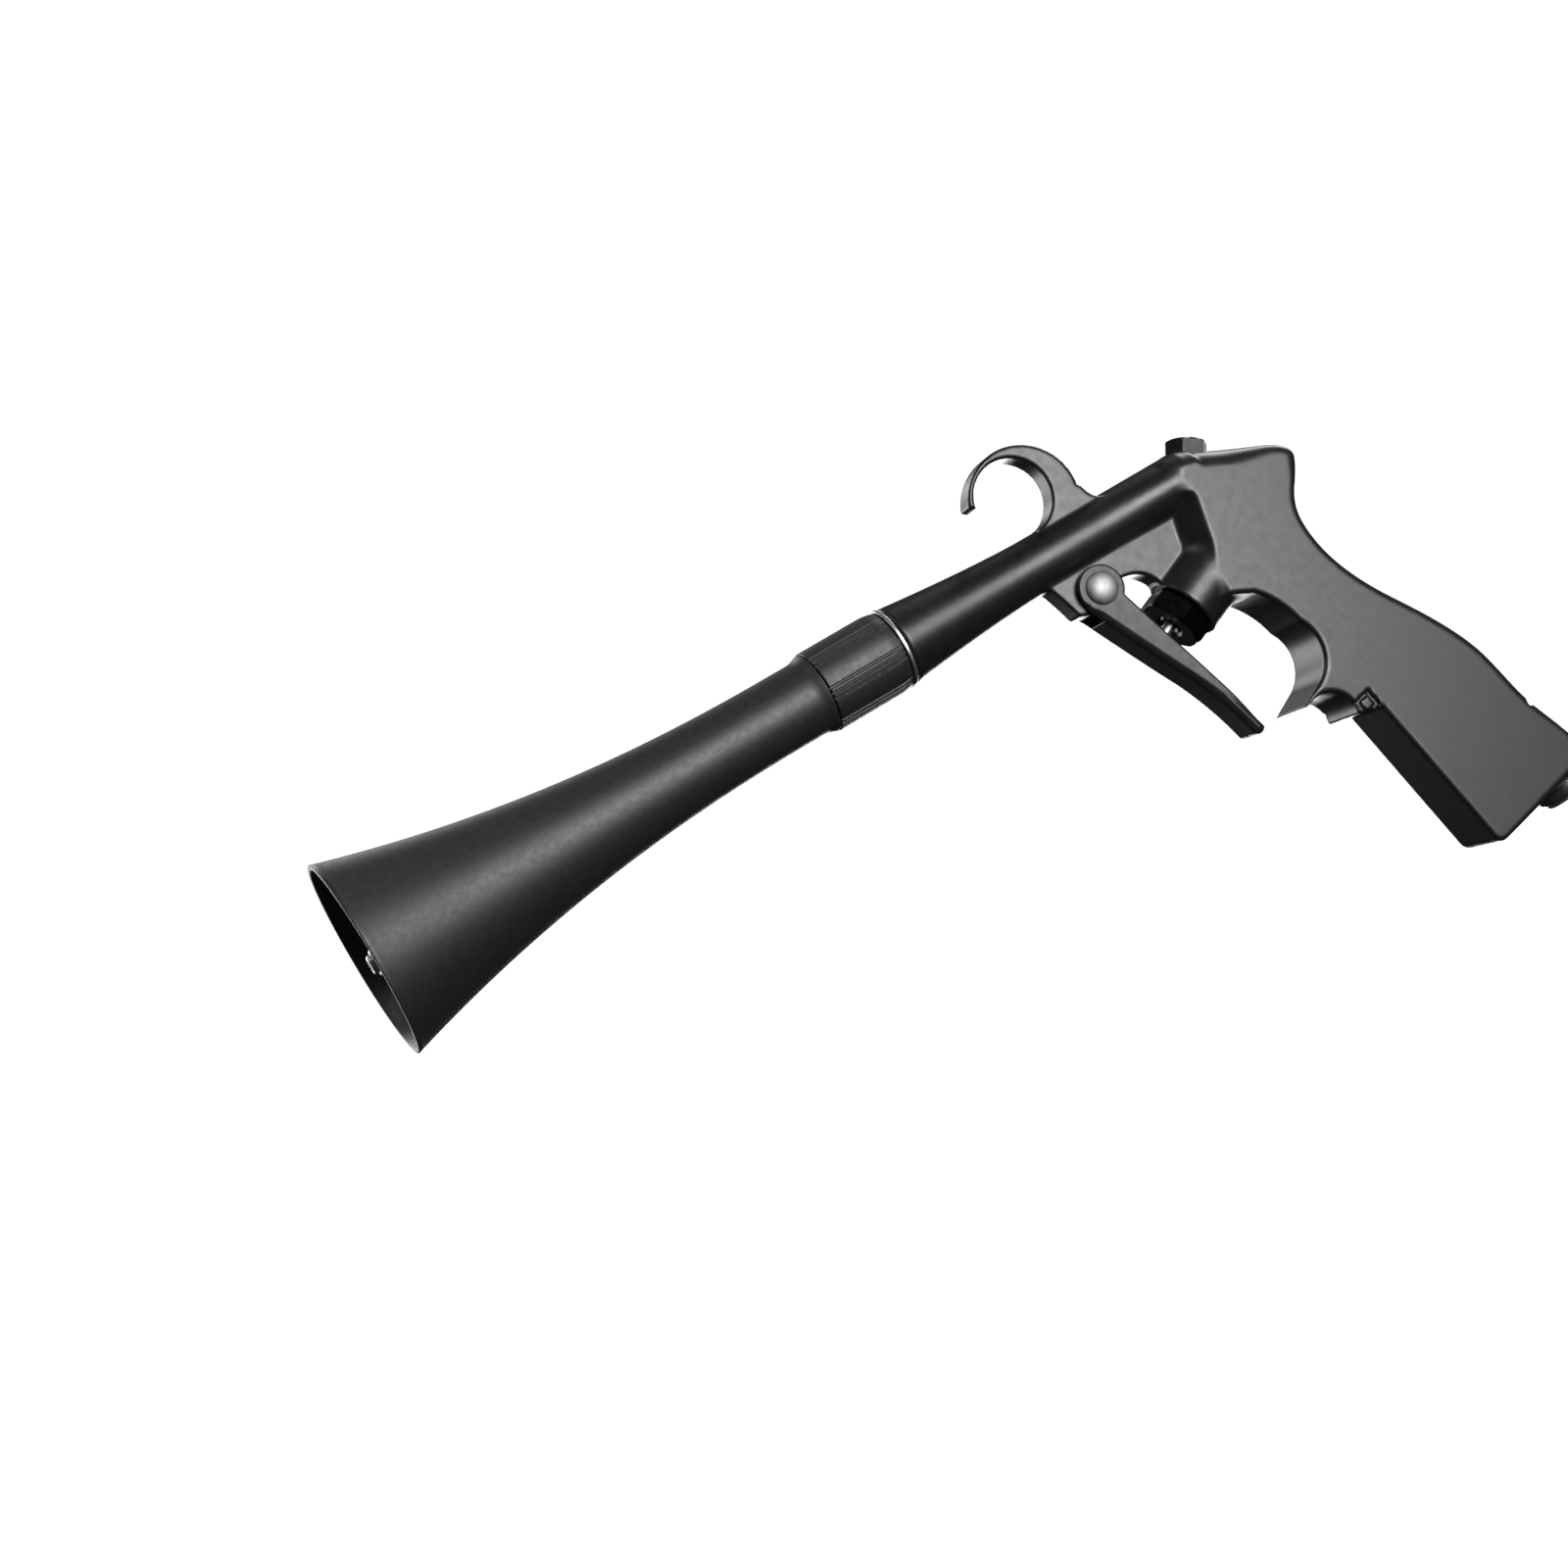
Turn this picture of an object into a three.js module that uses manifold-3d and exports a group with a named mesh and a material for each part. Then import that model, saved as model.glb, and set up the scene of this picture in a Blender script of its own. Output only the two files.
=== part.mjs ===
// Pistol-grip air cleaning gun with a flared horn and a spinning inner nozzle.
// Millimetres, +Z up, the barrel along X with the muzzle towards -X, mirror plane y = 0.
// The origin is the centre of the hanging hook's eye.
//
// Most pieces are drawn in the barrel frame: x = 0 at the barrel's front face, z = 0 on the
// barrel's axis. The rear casting is drawn about the block datum, barrelLength behind that face.

import * as THREE from 'three';
import { mergeVertices } from 'three/addons/utils/BufferGeometryUtils.js';
import Module from 'manifold-3d';

const wasm = await Module();
wasm.setup();

// ---------------------------------------------------------------- driving dimensions

// Horn
const hornLength = 130.7;        // mouth to the collar
const hornMouthRadius = 26;
const hornEndRadius = 9.8;
const hornFlangeRadius = 10.8;   // small cone that meets the collar
const hornFlangeLength = 2.6;
const hornWall = 1.6;
const hornStraight = 8.7;        // plain stretch in front of the collar, cone included
const hornFlarePower = 2.2;      // radius grows with this power towards the mouth
const hornNeckRadius = 9;        // neck pressed into the collar
const hornNeckLength = 8.3;
const hornNeckWall = 1.5;

// Horn collar
const collarLength = 22;
const collarRadius = 11;
const collarGrooveGroups = 7;
const collarGroovesPerGroup = 3;
const collarGroovePitchDeg = 8;
const collarGrooveWidthDeg = 4;
const collarGrooveDepth = 0.5;
const collarTurnDeg = 25.5;      // from straight down to the middle of the first group
const collarFrontChamfer = 0.3;
const collarRearChamfer = { length: 2.6, depth: 0.5 };

// Seat ring between the collar and the barrel
const ringThickness = 1;
const ringRadius = 10.9;

// Barrel
const barrelLength = 88;         // front face to the block datum
const barrelRadius = 7.5;
const barrelFrontRadius = 10.6;
const barrelFlareLength = 43;
const barrelFlarePower = 1.5;
const barrelFrontEdge = 2;       // length of the rounded front edge
const airBoreRadius = 3;
const shoulderFrom = -26;        // where the barrel starts to widen into the block, from the datum
const shoulderTo = 4;            // where it is as wide as the block

// Nozzle spigot, screwed into the barrel, carrying the collar and the bearings
const spigotThreadRadius = 8.9;
const spigotRootRadius = 7.7;
const spigotRootLength = 13.4;

// Ball bearings and spinning nozzle
const bearingRadius = 5.5;
const bearingBore = 2.5;
const bearingWidth = 4;
const bearingSpacing = 11;       // centre to centre
const ballRadius = 0.9;
const ballCount = 6;
const rotorBore = 1.5;
const rotorTipOffset = 2.2;      // sideways set of the bent tip
const rotorBendLength = 34;
const rotorTipRecess = 0.8;      // tip's distance inside the mouth plane
const tipSleeveLength = 7;
const tipSleeveSetback = 1.2;    // sleeve's distance behind the tip

// Plate that carries the hook and the trigger pivot
const plateThickness = 8;
const hookEyeRadius = 10.5;
const hookEye = { x: -41.2, z: 17.7 };          // from the block datum
const hookThickness = 4.7;                      // where the hook is thickest
const hookBackShift = { x: 2.2, z: -2.5 };      // from the eye's centre to that of the outer arc

// Block and grip
const gripThickness = 20;
const wallFoot = { x: -6.9, z: -12 };           // block's front wall on the plate, from the datum
const wallTiltDeg = 12.5;
const wallRun = 5.6;             // how far the wall slopes back from the plate to the side face
const gripDrop = 124.4;          // barrel axis to the toe
const gripTiltDeg = 11.2;
const gripDepth = 36.4;          // toe to heel

// Valve boss and valve
const bossRadius = 10;
const bossFront = { x: -15.3, z: -29.25 };      // centre of its front face, from the datum
const bossTiltDeg = 21.2;
const bossLength = 16;
const chamberRadius = 5.3;
const chamberDepth = 27.6;
const glandFlats = 16;           // across flats
const glandHeight = 5.4;
const glandShankLength = 6;
const stemRadius = 1.6;
const packingLength = 2.4;
const seatLength = 3;
const seatBoreRadius = 2.7;
const poppetRadius = 4.1;
const poppetLength = 3;
const poppetSealLength = 1.2;
const springRadius = 3.3;
const springWire = 0.7;
const springTurns = 6;

// Trigger
const pivot = { x: -34, z: -13.8 };             // from the datum
const triggerSheet = 1.6;
const triggerSideGap = 0.9;      // between the plate and each of the trigger's sides
const triggerEarRadius = 6.3;
const triggerLugRadius = 6.2;    // body lug between the ears
const triggerFrontSheet = 1.8;
const lugSwingRoom = 2.2;        // between the lug and the top of the front sheet
const pinRadius = 2.2;
const pinHeadRadius = 4.4;
const pinHeadHeight = 2.3;

// Top plug
const plugSeat = { x: 7.7, z: 4 };              // from the datum
const plugTiltDeg = 58;
const plugFlats = 10;
const plugHeight = 3.7;
const plugShankRadius = 3.6;
const plugShankLength = 5.5;
const plugPadRadius = 6.6;
const plugWasherThickness = 0.5;
const crossDrillRadius = 2.5;

// Air inlet
const inletFromToe = 28.2;
const inletCollarRadius = 7.6;
const inletCollarHeight = 3.6;
const inletThreadRadius = 6.4;
const inletDepth = 11;
const inletBoreRadius = 4.9;
const inletInsertProud = 1.1;
const inletPassageRadius = 3.2;

// Clearances
const seatGap = 0.3;             // between faces that meet
const turnedGap = 0.1;           // radial, between pieces that are screwed or pressed together
const runningGap = 0.08;         // radial, between a shaft and its hole
const neckGap = 1;               // between the horn's neck and the spigot, inside the collar

// Facets round a turned piece
const fineSides = 40;
const smallSides = 20;

// ---------------------------------------------------------------- derived places

const ringFront = -seatGap - ringThickness;
const collarRear = ringFront - seatGap;
const collarFront = collarRear - collarLength;
const hornRear = collarFront - seatGap;
const mouthX = hornRear - hornLength;
const boreRadiusInCollar = hornNeckRadius + turnedGap;
const datumX = barrelLength;
const spigotThreadLength = collarLength + seatGap - hornNeckLength - neckGap;
const rotorRadius = bearingBore - runningGap;
const stopRingRadius = rotorRadius + 0.9;
const nozzleShoulderRadius = rotorRadius + 0.8;
const retainerBore = nozzleShoulderRadius + 0.48;
const tipSleeveRadius = rotorRadius + 1;
const hookBack = {
  x: hookEye.x + hookBackShift.x,
  z: hookEye.z + hookBackShift.z,
  r: hookEyeRadius + hookThickness,
};
const triggerWidth = plateThickness + 2 * (triggerSheet + triggerSideGap);
const halfPlate = plateThickness / 2;
const halfGrip = gripThickness / 2;
const gripTilt = THREE.MathUtils.degToRad(gripTiltDeg);
const toe = {
  x: 24.5 + (gripDrop - 124.4) * Math.tan(gripTilt),
  z: -gripDrop,
};
const heel = alongBottom(gripDepth);
const inlet = alongBottom(inletFromToe);
const bossDirection = direction(bossTiltDeg);
const plugDirection = direction(plugTiltDeg);

/** Point of the grip's bottom line, a distance from the toe, about the block datum. */
function alongBottom(distance) {
  return { x: toe.x + distance * Math.cos(gripTilt), z: toe.z + distance * Math.sin(gripTilt) };
}

/** Unit vector in the mirror plane, an angle above +X. */
function direction(degrees) {
  const angle = THREE.MathUtils.degToRad(degrees);
  return new THREE.Vector3(Math.cos(angle), 0, Math.sin(angle));
}

// ---------------------------------------------------------------- geometry helpers

/** Closed indexed geometry without normals, with no collapsed triangles. */
function welded(geometry, tolerance = 1e-4) {
  geometry.deleteAttribute('normal');
  geometry.deleteAttribute('uv');
  const merged = mergeVertices(geometry, tolerance);
  const kept = [];
  const index = merged.index.array;
  for (let i = 0; i < index.length; i += 3) {
    const [a, b, c] = index.subarray(i, i + 3);
    if (a !== b && b !== c && c !== a) kept.push(a, b, c);
  }
  merged.setIndex(kept);
  return merged;
}

/** Solid of revolution about X from a closed outline of [x, radius] pairs. */
function turned(outline, sides = smallSides) {
  let area = 0;
  outline.forEach(([x, r], i) => {
    const [nextX, nextR] = outline[(i + 1) % outline.length];
    area += r * nextX - nextR * x;
  });
  const ordered = area > 0 ? outline : [...outline].reverse();
  const onAxis = ordered.findIndex(([, r], i) => {
    return r === 0 && ordered[(i + ordered.length - 1) % ordered.length][1] === 0;
  });
  const start = Math.max(onAxis, 0);
  const loop = [...ordered.slice(start), ...ordered.slice(0, start)];
  if (onAxis < 0) loop.push(loop[0]);
  const points = loop.map(([x, r]) => new THREE.Vector2(r, x));
  const geometry = welded(new THREE.LatheGeometry(points, sides));
  geometry.rotateZ(-Math.PI / 2);
  return geometry;
}

/** Plain cylinder along X. */
function rod(radius, from, to, sides = smallSides) {
  return turned([[from, 0], [to, 0], [to, radius], [from, radius]], sides);
}

/** Plain tube along X. */
function ring(inner, outer, from, to, sides = smallSides) {
  return turned([[from, inner], [from, outer], [to, outer], [to, inner]], sides);
}

/** Straight-sided copy of a shape, without the doubled points where its curves meet. */
function faceted(shape, curveSegments) {
  const points = shape.getPoints(curveSegments);
  const nearest = 0.05;
  return new THREE.Shape(points.filter((point, i) => {
    return point.distanceTo(points[(i + points.length - 1) % points.length]) > nearest;
  }));
}

/** Plate whose outline lies in XZ, centred on y = 0. */
function plate(shape, thickness, curveSegments = 10) {
  const geometry = welded(new THREE.ExtrudeGeometry(faceted(shape, curveSegments), {
    depth: thickness,
    bevelEnabled: false,
  }));
  geometry.rotateX(Math.PI / 2);
  geometry.translate(0, thickness / 2, 0);
  return geometry;
}

/** Hexagonal prism along X with chamfered corners at both ends. */
function hexagon(acrossFlats, from, to, chamfer = 0.6) {
  const corner = acrossFlats / Math.sqrt(3);
  const prism = solid(rod(corner, from, to, 6));
  const crown = solid(turned([
    [from, 0],
    [to, 0],
    [to, corner - 1.6 * chamfer],
    [to - chamfer, corner + 0.05],
    [from + chamfer, corner + 0.05],
    [from, corner - 1.6 * chamfer],
  ]));
  return prism.intersect(crown);
}

/** Manifold of a welded geometry. */
function solid(geometry) {
  const vertProperties = new Float32Array(geometry.attributes.position.array);
  const triVerts = new Uint32Array(geometry.index.array);
  return new wasm.Manifold(new wasm.Mesh({ numProp: 3, vertProperties, triVerts }));
}

/** Geometry of a manifold. */
function geometryOf(manifold) {
  const mesh = manifold.getMesh();
  const geometry = new THREE.BufferGeometry();
  geometry.setAttribute('position', new THREE.BufferAttribute(mesh.vertProperties, 3));
  geometry.setIndex(new THREE.BufferAttribute(mesh.triVerts, 1));
  return welded(geometry, 2e-3);
}

/** Moves a geometry drawn along X to a place about the datum, turned up by an angle. */
function aimed(geometry, place, degrees) {
  geometry.rotateY(-THREE.MathUtils.degToRad(degrees));
  geometry.translate(place.x + datumX, 0, place.z);
  return geometry;
}

// ---------------------------------------------------------------- finishes

const castPaint = { color: 0x1c1c1d, roughness: 0.36, metalness: 0.1 };
const mattPlastic = { color: 0x19191a, roughness: 0.55, metalness: 0 };
const triggerPaint = { color: 0x2a2b2d, roughness: 0.4, metalness: 0.3 };
const brightSteel = { color: 0xc9cacc, roughness: 0.25, metalness: 1 };
const darkSteel = { color: 0x3b3c3e, roughness: 0.35, metalness: 0.9 };
const brassFinish = { color: 0xb0955a, roughness: 0.35, metalness: 1 };
const aluminium = { color: 0xb9babc, roughness: 0.35, metalness: 1 };
const sealRubber = { color: 0x101010, roughness: 0.8, metalness: 0 };
const nylon = { color: 0xd8d4c6, roughness: 0.5, metalness: 0 };

const gun = new THREE.Group();
gun.position.set(-(datumX + hookEye.x), 0, -hookEye.z);

/** Adds a named piece with a material of its own. */
function piece(name, geometry, finish, parent = gun) {
  const mesh = new THREE.Mesh(geometry, new THREE.MeshStandardMaterial(finish));
  mesh.name = name;
  parent.add(mesh);
  return mesh;
}

/** Group at a place about the datum whose +X is turned up by an angle. */
function aimedGroup(place, degrees) {
  const group = new THREE.Group();
  group.position.set(place.x + datumX, 0, place.z);
  group.rotation.y = -THREE.MathUtils.degToRad(degrees);
  gun.add(group);
  return group;
}

// ---------------------------------------------------------------- horn and collar

/** Horn's outer radius a distance behind the mouth. */
function hornRadius(distance) {
  const flareLength = hornLength - hornStraight;
  const share = Math.max(0, 1 - distance / flareLength);
  return hornEndRadius + (hornMouthRadius - hornEndRadius) * share ** hornFlarePower;
}

function makeHorn() {
  const steps = 11;
  const flareLength = hornLength - hornStraight;
  const outside = [];
  const inside = [];
  for (let i = 0; i <= steps; i += 1) {
    const distance = flareLength * (i / steps) ** 1.15;
    outside.push([mouthX + distance, hornRadius(distance)]);
    inside.push([mouthX + distance, hornRadius(distance) - hornWall]);
  }
  const neckEnd = hornRear + hornNeckLength;
  return turned([
    ...outside,
    [hornRear - hornFlangeLength, hornEndRadius],
    [hornRear, hornFlangeRadius],
    [hornRear, hornNeckRadius],
    [neckEnd, hornNeckRadius],
    [neckEnd, hornNeckRadius - hornNeckWall],
    ...inside.reverse(),
  ], fineSides);
}

/** Collar's section: groups of axial grooves between plain lands. */
function collarSection() {
  const points = [];
  const polar = (radius, degrees) => {
    const angle = THREE.MathUtils.degToRad(degrees);
    points.push(new THREE.Vector2(radius * Math.cos(angle), radius * Math.sin(angle)));
  };
  const rootRadius = collarRadius - collarGrooveDepth;
  const groupAngle = 360 / collarGrooveGroups;
  const halfWidth = collarGrooveWidthDeg / 2;
  const groupSpan = collarGroovePitchDeg * (collarGroovesPerGroup - 1);
  for (let group = 0; group < collarGrooveGroups; group += 1) {
    const first = collarTurnDeg + group * groupAngle - groupSpan / 2;
    for (let groove = 0; groove < collarGroovesPerGroup; groove += 1) {
      const middle = first + groove * collarGroovePitchDeg;
      polar(collarRadius, middle - halfWidth);
      polar(rootRadius, middle - halfWidth / 2);
      polar(rootRadius, middle + halfWidth / 2);
      polar(collarRadius, middle + halfWidth);
    }
    const landStart = first + groupSpan + halfWidth;
    const landAngle = groupAngle - groupSpan - collarGrooveWidthDeg;
    polar(collarRadius, landStart + landAngle / 3);
    polar(collarRadius, landStart + landAngle * 2 / 3);
  }
  return new THREE.Shape(points);
}

function makeCollar() {
  const bar = welded(new THREE.ExtrudeGeometry(collarSection(), {
    depth: collarLength,
    bevelEnabled: false,
  }));
  bar.rotateY(Math.PI / 2);
  bar.translate(collarFront, 0, 0);
  const clear = collarRadius + 0.2;
  const chamfered = turned([
    [collarFront, 0],
    [collarRear, 0],
    [collarRear, collarRadius - collarRearChamfer.depth],
    [collarRear - collarRearChamfer.length, collarRadius],
    [collarRear - collarRearChamfer.length, clear],
    [collarFront + collarFrontChamfer, clear],
    [collarFront, collarRadius - collarFrontChamfer],
  ], fineSides);
  const bore = rod(boreRadiusInCollar, collarFront - 1, collarRear + 1, fineSides);
  return geometryOf(solid(bar).intersect(solid(chamfered)).subtract(solid(bore)));
}

piece('horn', makeHorn(), mattPlastic);
piece('horn_collar', makeCollar(), mattPlastic);
piece('seat_ring', ring(
  spigotRootRadius + 2 * turnedGap,
  ringRadius,
  ringFront,
  -seatGap,
  fineSides,
), brightSteel);

// ---------------------------------------------------------------- spigot, bearings and nozzle

const spigotFront = collarRear - spigotThreadLength;
const socketDepth = spigotRootLength + seatGap;
const oRingX = spigotRootLength - 3.2;
const oRingSection = 0.8;
const frontBearingX = spigotFront + 2 + bearingWidth / 2;
const rearBearingX = frontBearingX + bearingSpacing;
const housingFloor = rearBearingX + bearingWidth / 2 + 1.2;
const housingRadius = bearingRadius + turnedGap;
const rotorRear = rearBearingX + bearingWidth / 2 + 2.6;
const tipStraight = tipSleeveSetback + tipSleeveLength + 4;

function makeSpigot() {
  return turned([
    [spigotFront, housingRadius],
    [spigotFront, spigotThreadRadius - 0.6],
    [spigotFront + 0.6, spigotThreadRadius],
    [collarRear, spigotThreadRadius],
    [collarRear, spigotRootRadius],
    [oRingX - oRingSection, spigotRootRadius],
    [oRingX - oRingSection, spigotRootRadius - 1.3],
    [oRingX + oRingSection, spigotRootRadius - 1.3],
    [oRingX + oRingSection, spigotRootRadius],
    [spigotRootLength, spigotRootRadius],
    [spigotRootLength, airBoreRadius],
    [housingFloor + 3, airBoreRadius],
    [housingFloor, housingRadius],
  ], fineSides);
}

/** O-ring about X. */
function oRing(centreX, middleRadius, section, sides = smallSides) {
  const outline = [];
  const corners = 8;
  for (let i = 0; i < corners; i += 1) {
    const angle = 2 * Math.PI * i / corners;
    outline.push([centreX + section * Math.cos(angle), middleRadius + section * Math.sin(angle)]);
  }
  return turned(outline, sides);
}

/** Groove arc for the balls, from one edge of a race to the other. */
function grooveArc(centreX, pitchRadius, outward) {
  const radius = ballRadius + 0.08;
  const points = [];
  const steps = 4;
  const opening = THREE.MathUtils.degToRad(55);
  for (let i = 0; i <= steps; i += 1) {
    const angle = -opening + 2 * opening * i / steps;
    points.push([
      centreX + radius * Math.sin(angle),
      pitchRadius + (outward ? radius : -radius) * Math.cos(angle),
    ]);
  }
  return points;
}

function makeBearing(label, centreX) {
  const pitchRadius = (bearingBore + bearingRadius) / 2;
  const shoulder = 0.55;
  const from = centreX - bearingWidth / 2;
  const to = centreX + bearingWidth / 2;
  piece(`${label}_bearing_outer_race`, turned([
    [from, bearingRadius],
    [from, pitchRadius + shoulder],
    ...grooveArc(centreX, pitchRadius, true),
    [to, pitchRadius + shoulder],
    [to, bearingRadius],
  ]), brightSteel);
  piece(`${label}_bearing_inner_race`, turned([
    [from, bearingBore],
    [from, pitchRadius - shoulder],
    ...grooveArc(centreX, pitchRadius, false),
    [to, pitchRadius - shoulder],
    [to, bearingBore],
  ]), brightSteel);
  let cage = solid(ring(pitchRadius - 0.35, pitchRadius + 0.35, centreX - 0.6, centreX + 0.6));
  for (let i = 0; i < ballCount; i += 1) {
    const ball = welded(new THREE.IcosahedronGeometry(ballRadius, 1));
    ball.translate(0, pitchRadius, 0);
    ball.rotateX(2 * Math.PI * i / ballCount);
    ball.translate(centreX, 0, 0);
    cage = cage.add(solid(ball));
  }
  piece(`${label}_bearing_ball_cage`, geometryOf(cage), brightSteel);
}

/** Bent tube: straight through the bearings, its tip set off the axis near the mouth. */
function makeRotor() {
  const onAxis = (x) => new THREE.Vector3(x, 0, 0);
  const offAxis = (x) => new THREE.Vector3(x, 0, -rotorTipOffset);
  const tipX = mouthX + rotorTipRecess;
  const bendFrom = tipX + tipStraight + rotorBendLength;
  const bendTo = tipX + tipStraight;
  const bendPull = rotorBendLength / 2;
  const path = new THREE.CurvePath();
  path.add(new THREE.LineCurve3(onAxis(rotorRear), onAxis(bendFrom)));
  path.add(new THREE.CubicBezierCurve3(
    onAxis(bendFrom),
    onAxis(bendFrom - bendPull),
    offAxis(bendTo + bendPull),
    offAxis(bendTo),
  ));
  path.add(new THREE.LineCurve3(offAxis(bendTo), offAxis(tipX)));
  const section = new THREE.Shape().absarc(0, 0, rotorRadius, 0, 2 * Math.PI);
  section.holes.push(new THREE.Path().absarc(0, 0, rotorBore, 0, 2 * Math.PI, true));
  const tube = welded(new THREE.ExtrudeGeometry(section, {
    extrudePath: path,
    steps: 30,
    curveSegments: 5,
  }));
  const stepFrom = frontBearingX - bearingWidth / 2 - turnedGap - 1.2;
  const shoulder = ring(rotorRadius - 0.4, nozzleShoulderRadius, stepFrom, stepFrom + 1.2, 32);
  return geometryOf(solid(tube).add(solid(shoulder)));
}

piece('nozzle_spigot', makeSpigot(), aluminium);
piece('spigot_o_ring', oRing(oRingX, spigotRootRadius - 0.55, 0.62, smallSides), sealRubber);
makeBearing('front', frontBearingX);
makeBearing('rear', rearBearingX);
piece('bearing_spacer', ring(
  bearingRadius - 0.9,
  bearingRadius,
  frontBearingX + bearingWidth / 2 + turnedGap,
  rearBearingX - bearingWidth / 2 - turnedGap,
), aluminium);
piece('bearing_retainer', ring(
  retainerBore,
  bearingRadius,
  spigotFront + 0.3,
  frontBearingX - bearingWidth / 2 - turnedGap,
), darkSteel);
piece('spinning_nozzle', makeRotor(), brightSteel);
piece('nozzle_stop_ring', ring(
  rotorRadius + turnedGap,
  stopRingRadius,
  rearBearingX + bearingWidth / 2 + turnedGap,
  rearBearingX + bearingWidth / 2 + 1.4,
), brassFinish);
const tipSleeveFrom = mouthX + rotorTipRecess + tipSleeveSetback;
const tipSleeve = ring(
  rotorRadius + 2 * turnedGap,
  tipSleeveRadius,
  tipSleeveFrom,
  tipSleeveFrom + tipSleeveLength,
);
tipSleeve.translate(0, 0, -rotorTipOffset);
piece('nozzle_tip_weight', tipSleeve, brassFinish);

// ---------------------------------------------------------------- body casting

function makeBarrel() {
  const steps = 8;
  const outline = [[0, 0], [0, barrelFrontRadius - 0.4], [barrelFrontEdge, barrelFrontRadius]];
  for (let i = 1; i <= steps; i += 1) {
    const share = i / steps;
    const radius = barrelRadius + (barrelFrontRadius - barrelRadius) * (1 - share) ** barrelFlarePower;
    outline.push([barrelFrontEdge + (barrelFlareLength - barrelFrontEdge) * share, radius]);
  }
  outline.push([datumX + 6, barrelRadius], [datumX + 6, 0]);
  return solid(turned(outline, fineSides));
}

/** Rear of the barrel, growing as wide as the block but no taller. */
function makeShoulder() {
  const geometry = rod(barrelRadius, datumX + shoulderFrom, datumX + shoulderTo, fineSides);
  const position = geometry.attributes.position;
  const middle = datumX + (shoulderFrom + shoulderTo) / 2;
  for (let i = 0; i < position.count; i += 1) {
    if (position.getX(i) > middle) position.setY(i, position.getY(i) * halfGrip / barrelRadius);
  }
  return solid(geometry);
}

/** Hook on top of the barrel, about the datum. */
function makeHook() {
  const shape = new THREE.Shape();
  const tipAngle = THREE.MathUtils.degToRad(168);
  const root = { x: hookEye.x + 2, z: 2 };
  shape.moveTo(root.x, root.z);
  shape.lineTo(-18, 2);
  shape.lineTo(-18, 5.5);
  shape.quadraticCurveTo(-22.6, 7.6, -23.2, 11.4);
  shape.absarc(hookBack.x, hookBack.z, hookBack.r, -0.18, THREE.MathUtils.degToRad(157), false);
  shape.absarc(hookEye.x, hookEye.z, hookEyeRadius, tipAngle, -Math.PI / 2 + 0.15, true);
  const hook = plate(shape, plateThickness, 14);
  hook.translate(datumX, 0, 0);
  return solid(hook);
}

/** Web under the barrel: carries the trigger pivot and joins the valve boss. */
function makeWeb() {
  const shape = new THREE.Shape();
  const bossEdge = bossRadius - 0.3;
  const behind = onValveAxis(0.5);
  const bossTop = {
    x: behind.x - bossDirection.z * bossEdge,
    z: behind.z + bossDirection.x * bossEdge,
  };
  shape.moveTo(-47.4, -3);
  shape.quadraticCurveTo(-43.8, -11, -42.3, -17.2);
  shape.quadraticCurveTo(-41.2, -17.6, pivot.x - 3.6, pivot.z - 5.1);
  shape.absarc(pivot.x, pivot.z, triggerLugRadius, -2.2, -0.6, false);
  shape.quadraticCurveTo(-28.2, -14.3, -26.4, -14.3);
  shape.quadraticCurveTo(bossTop.x - 2.2, -14.6, bossTop.x, bossTop.z);
  shape.lineTo(bossFront.x + 3, bossFront.z);
  shape.lineTo(-2, -27);
  shape.lineTo(2, -3);
  const web = plate(shape, plateThickness, 8);
  web.translate(datumX, 0, 0);
  return solid(web);
}

/** Outline of the block and the grip, clockwise from the top of the barrel. */
function gripShape() {
  const shape = new THREE.Shape();
  const corner = 2.4;
  const wallTop = onWall(6.4);
  const wallEnd = onWall(-19.5);
  shape.moveTo(wallTop.x, wallTop.z);
  shape.lineTo(2.6, 7);
  shape.lineTo(25.2, -3.2);
  shape.quadraticCurveTo(31.2, -6.1, 30.8, -9.6);
  shape.bezierCurveTo(28.6, -15.6, 22.9, -17.6, 22.9, -26);
  shape.bezierCurveTo(22.9, -37, 28.6, -47, 34.7, -55.6);
  shape.bezierCurveTo(39.2, -62, 46, -72, 48.4, -80.4);
  shape.bezierCurveTo(50, -86, heel.x - 9.4, heel.z + 26.5, heel.x - 8.2, heel.z + 22.6);
  shape.bezierCurveTo(heel.x - 6.2, heel.z + 16, heel.x - 2.6, heel.z + 9.5, heel.x - 0.6, heel.z + 2.4);
  shape.quadraticCurveTo(heel.x, heel.z, heel.x - corner, heel.z - corner * Math.sin(gripTilt));
  shape.lineTo(toe.x + corner, toe.z + corner * Math.sin(gripTilt));
  shape.quadraticCurveTo(toe.x, toe.z, toe.x - 0.4 * corner, toe.z + corner);
  shape.lineTo(14.9, -77.4);
  shape.absarc(1.2, -73.8, 7.4, THREE.MathUtils.degToRad(-16), THREE.MathUtils.degToRad(114), false);
  shape.lineTo(-5, -67.5);
  shape.absarc(-1.9, -53.6, 11.1, THREE.MathUtils.degToRad(-68), THREE.MathUtils.degToRad(34), false);
  shape.quadraticCurveTo(5.6, -40, 0.6, -35);
  shape.lineTo(-8, -31);
  shape.lineTo(wallEnd.x, wallEnd.z);
  return shape;
}

/** Point of the block's front wall at its foot on the plate, at a height about the datum. */
function onWall(z) {
  return { x: wallFoot.x + (z - wallFoot.z) * Math.tan(THREE.MathUtils.degToRad(wallTiltDeg)), z };
}

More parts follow.
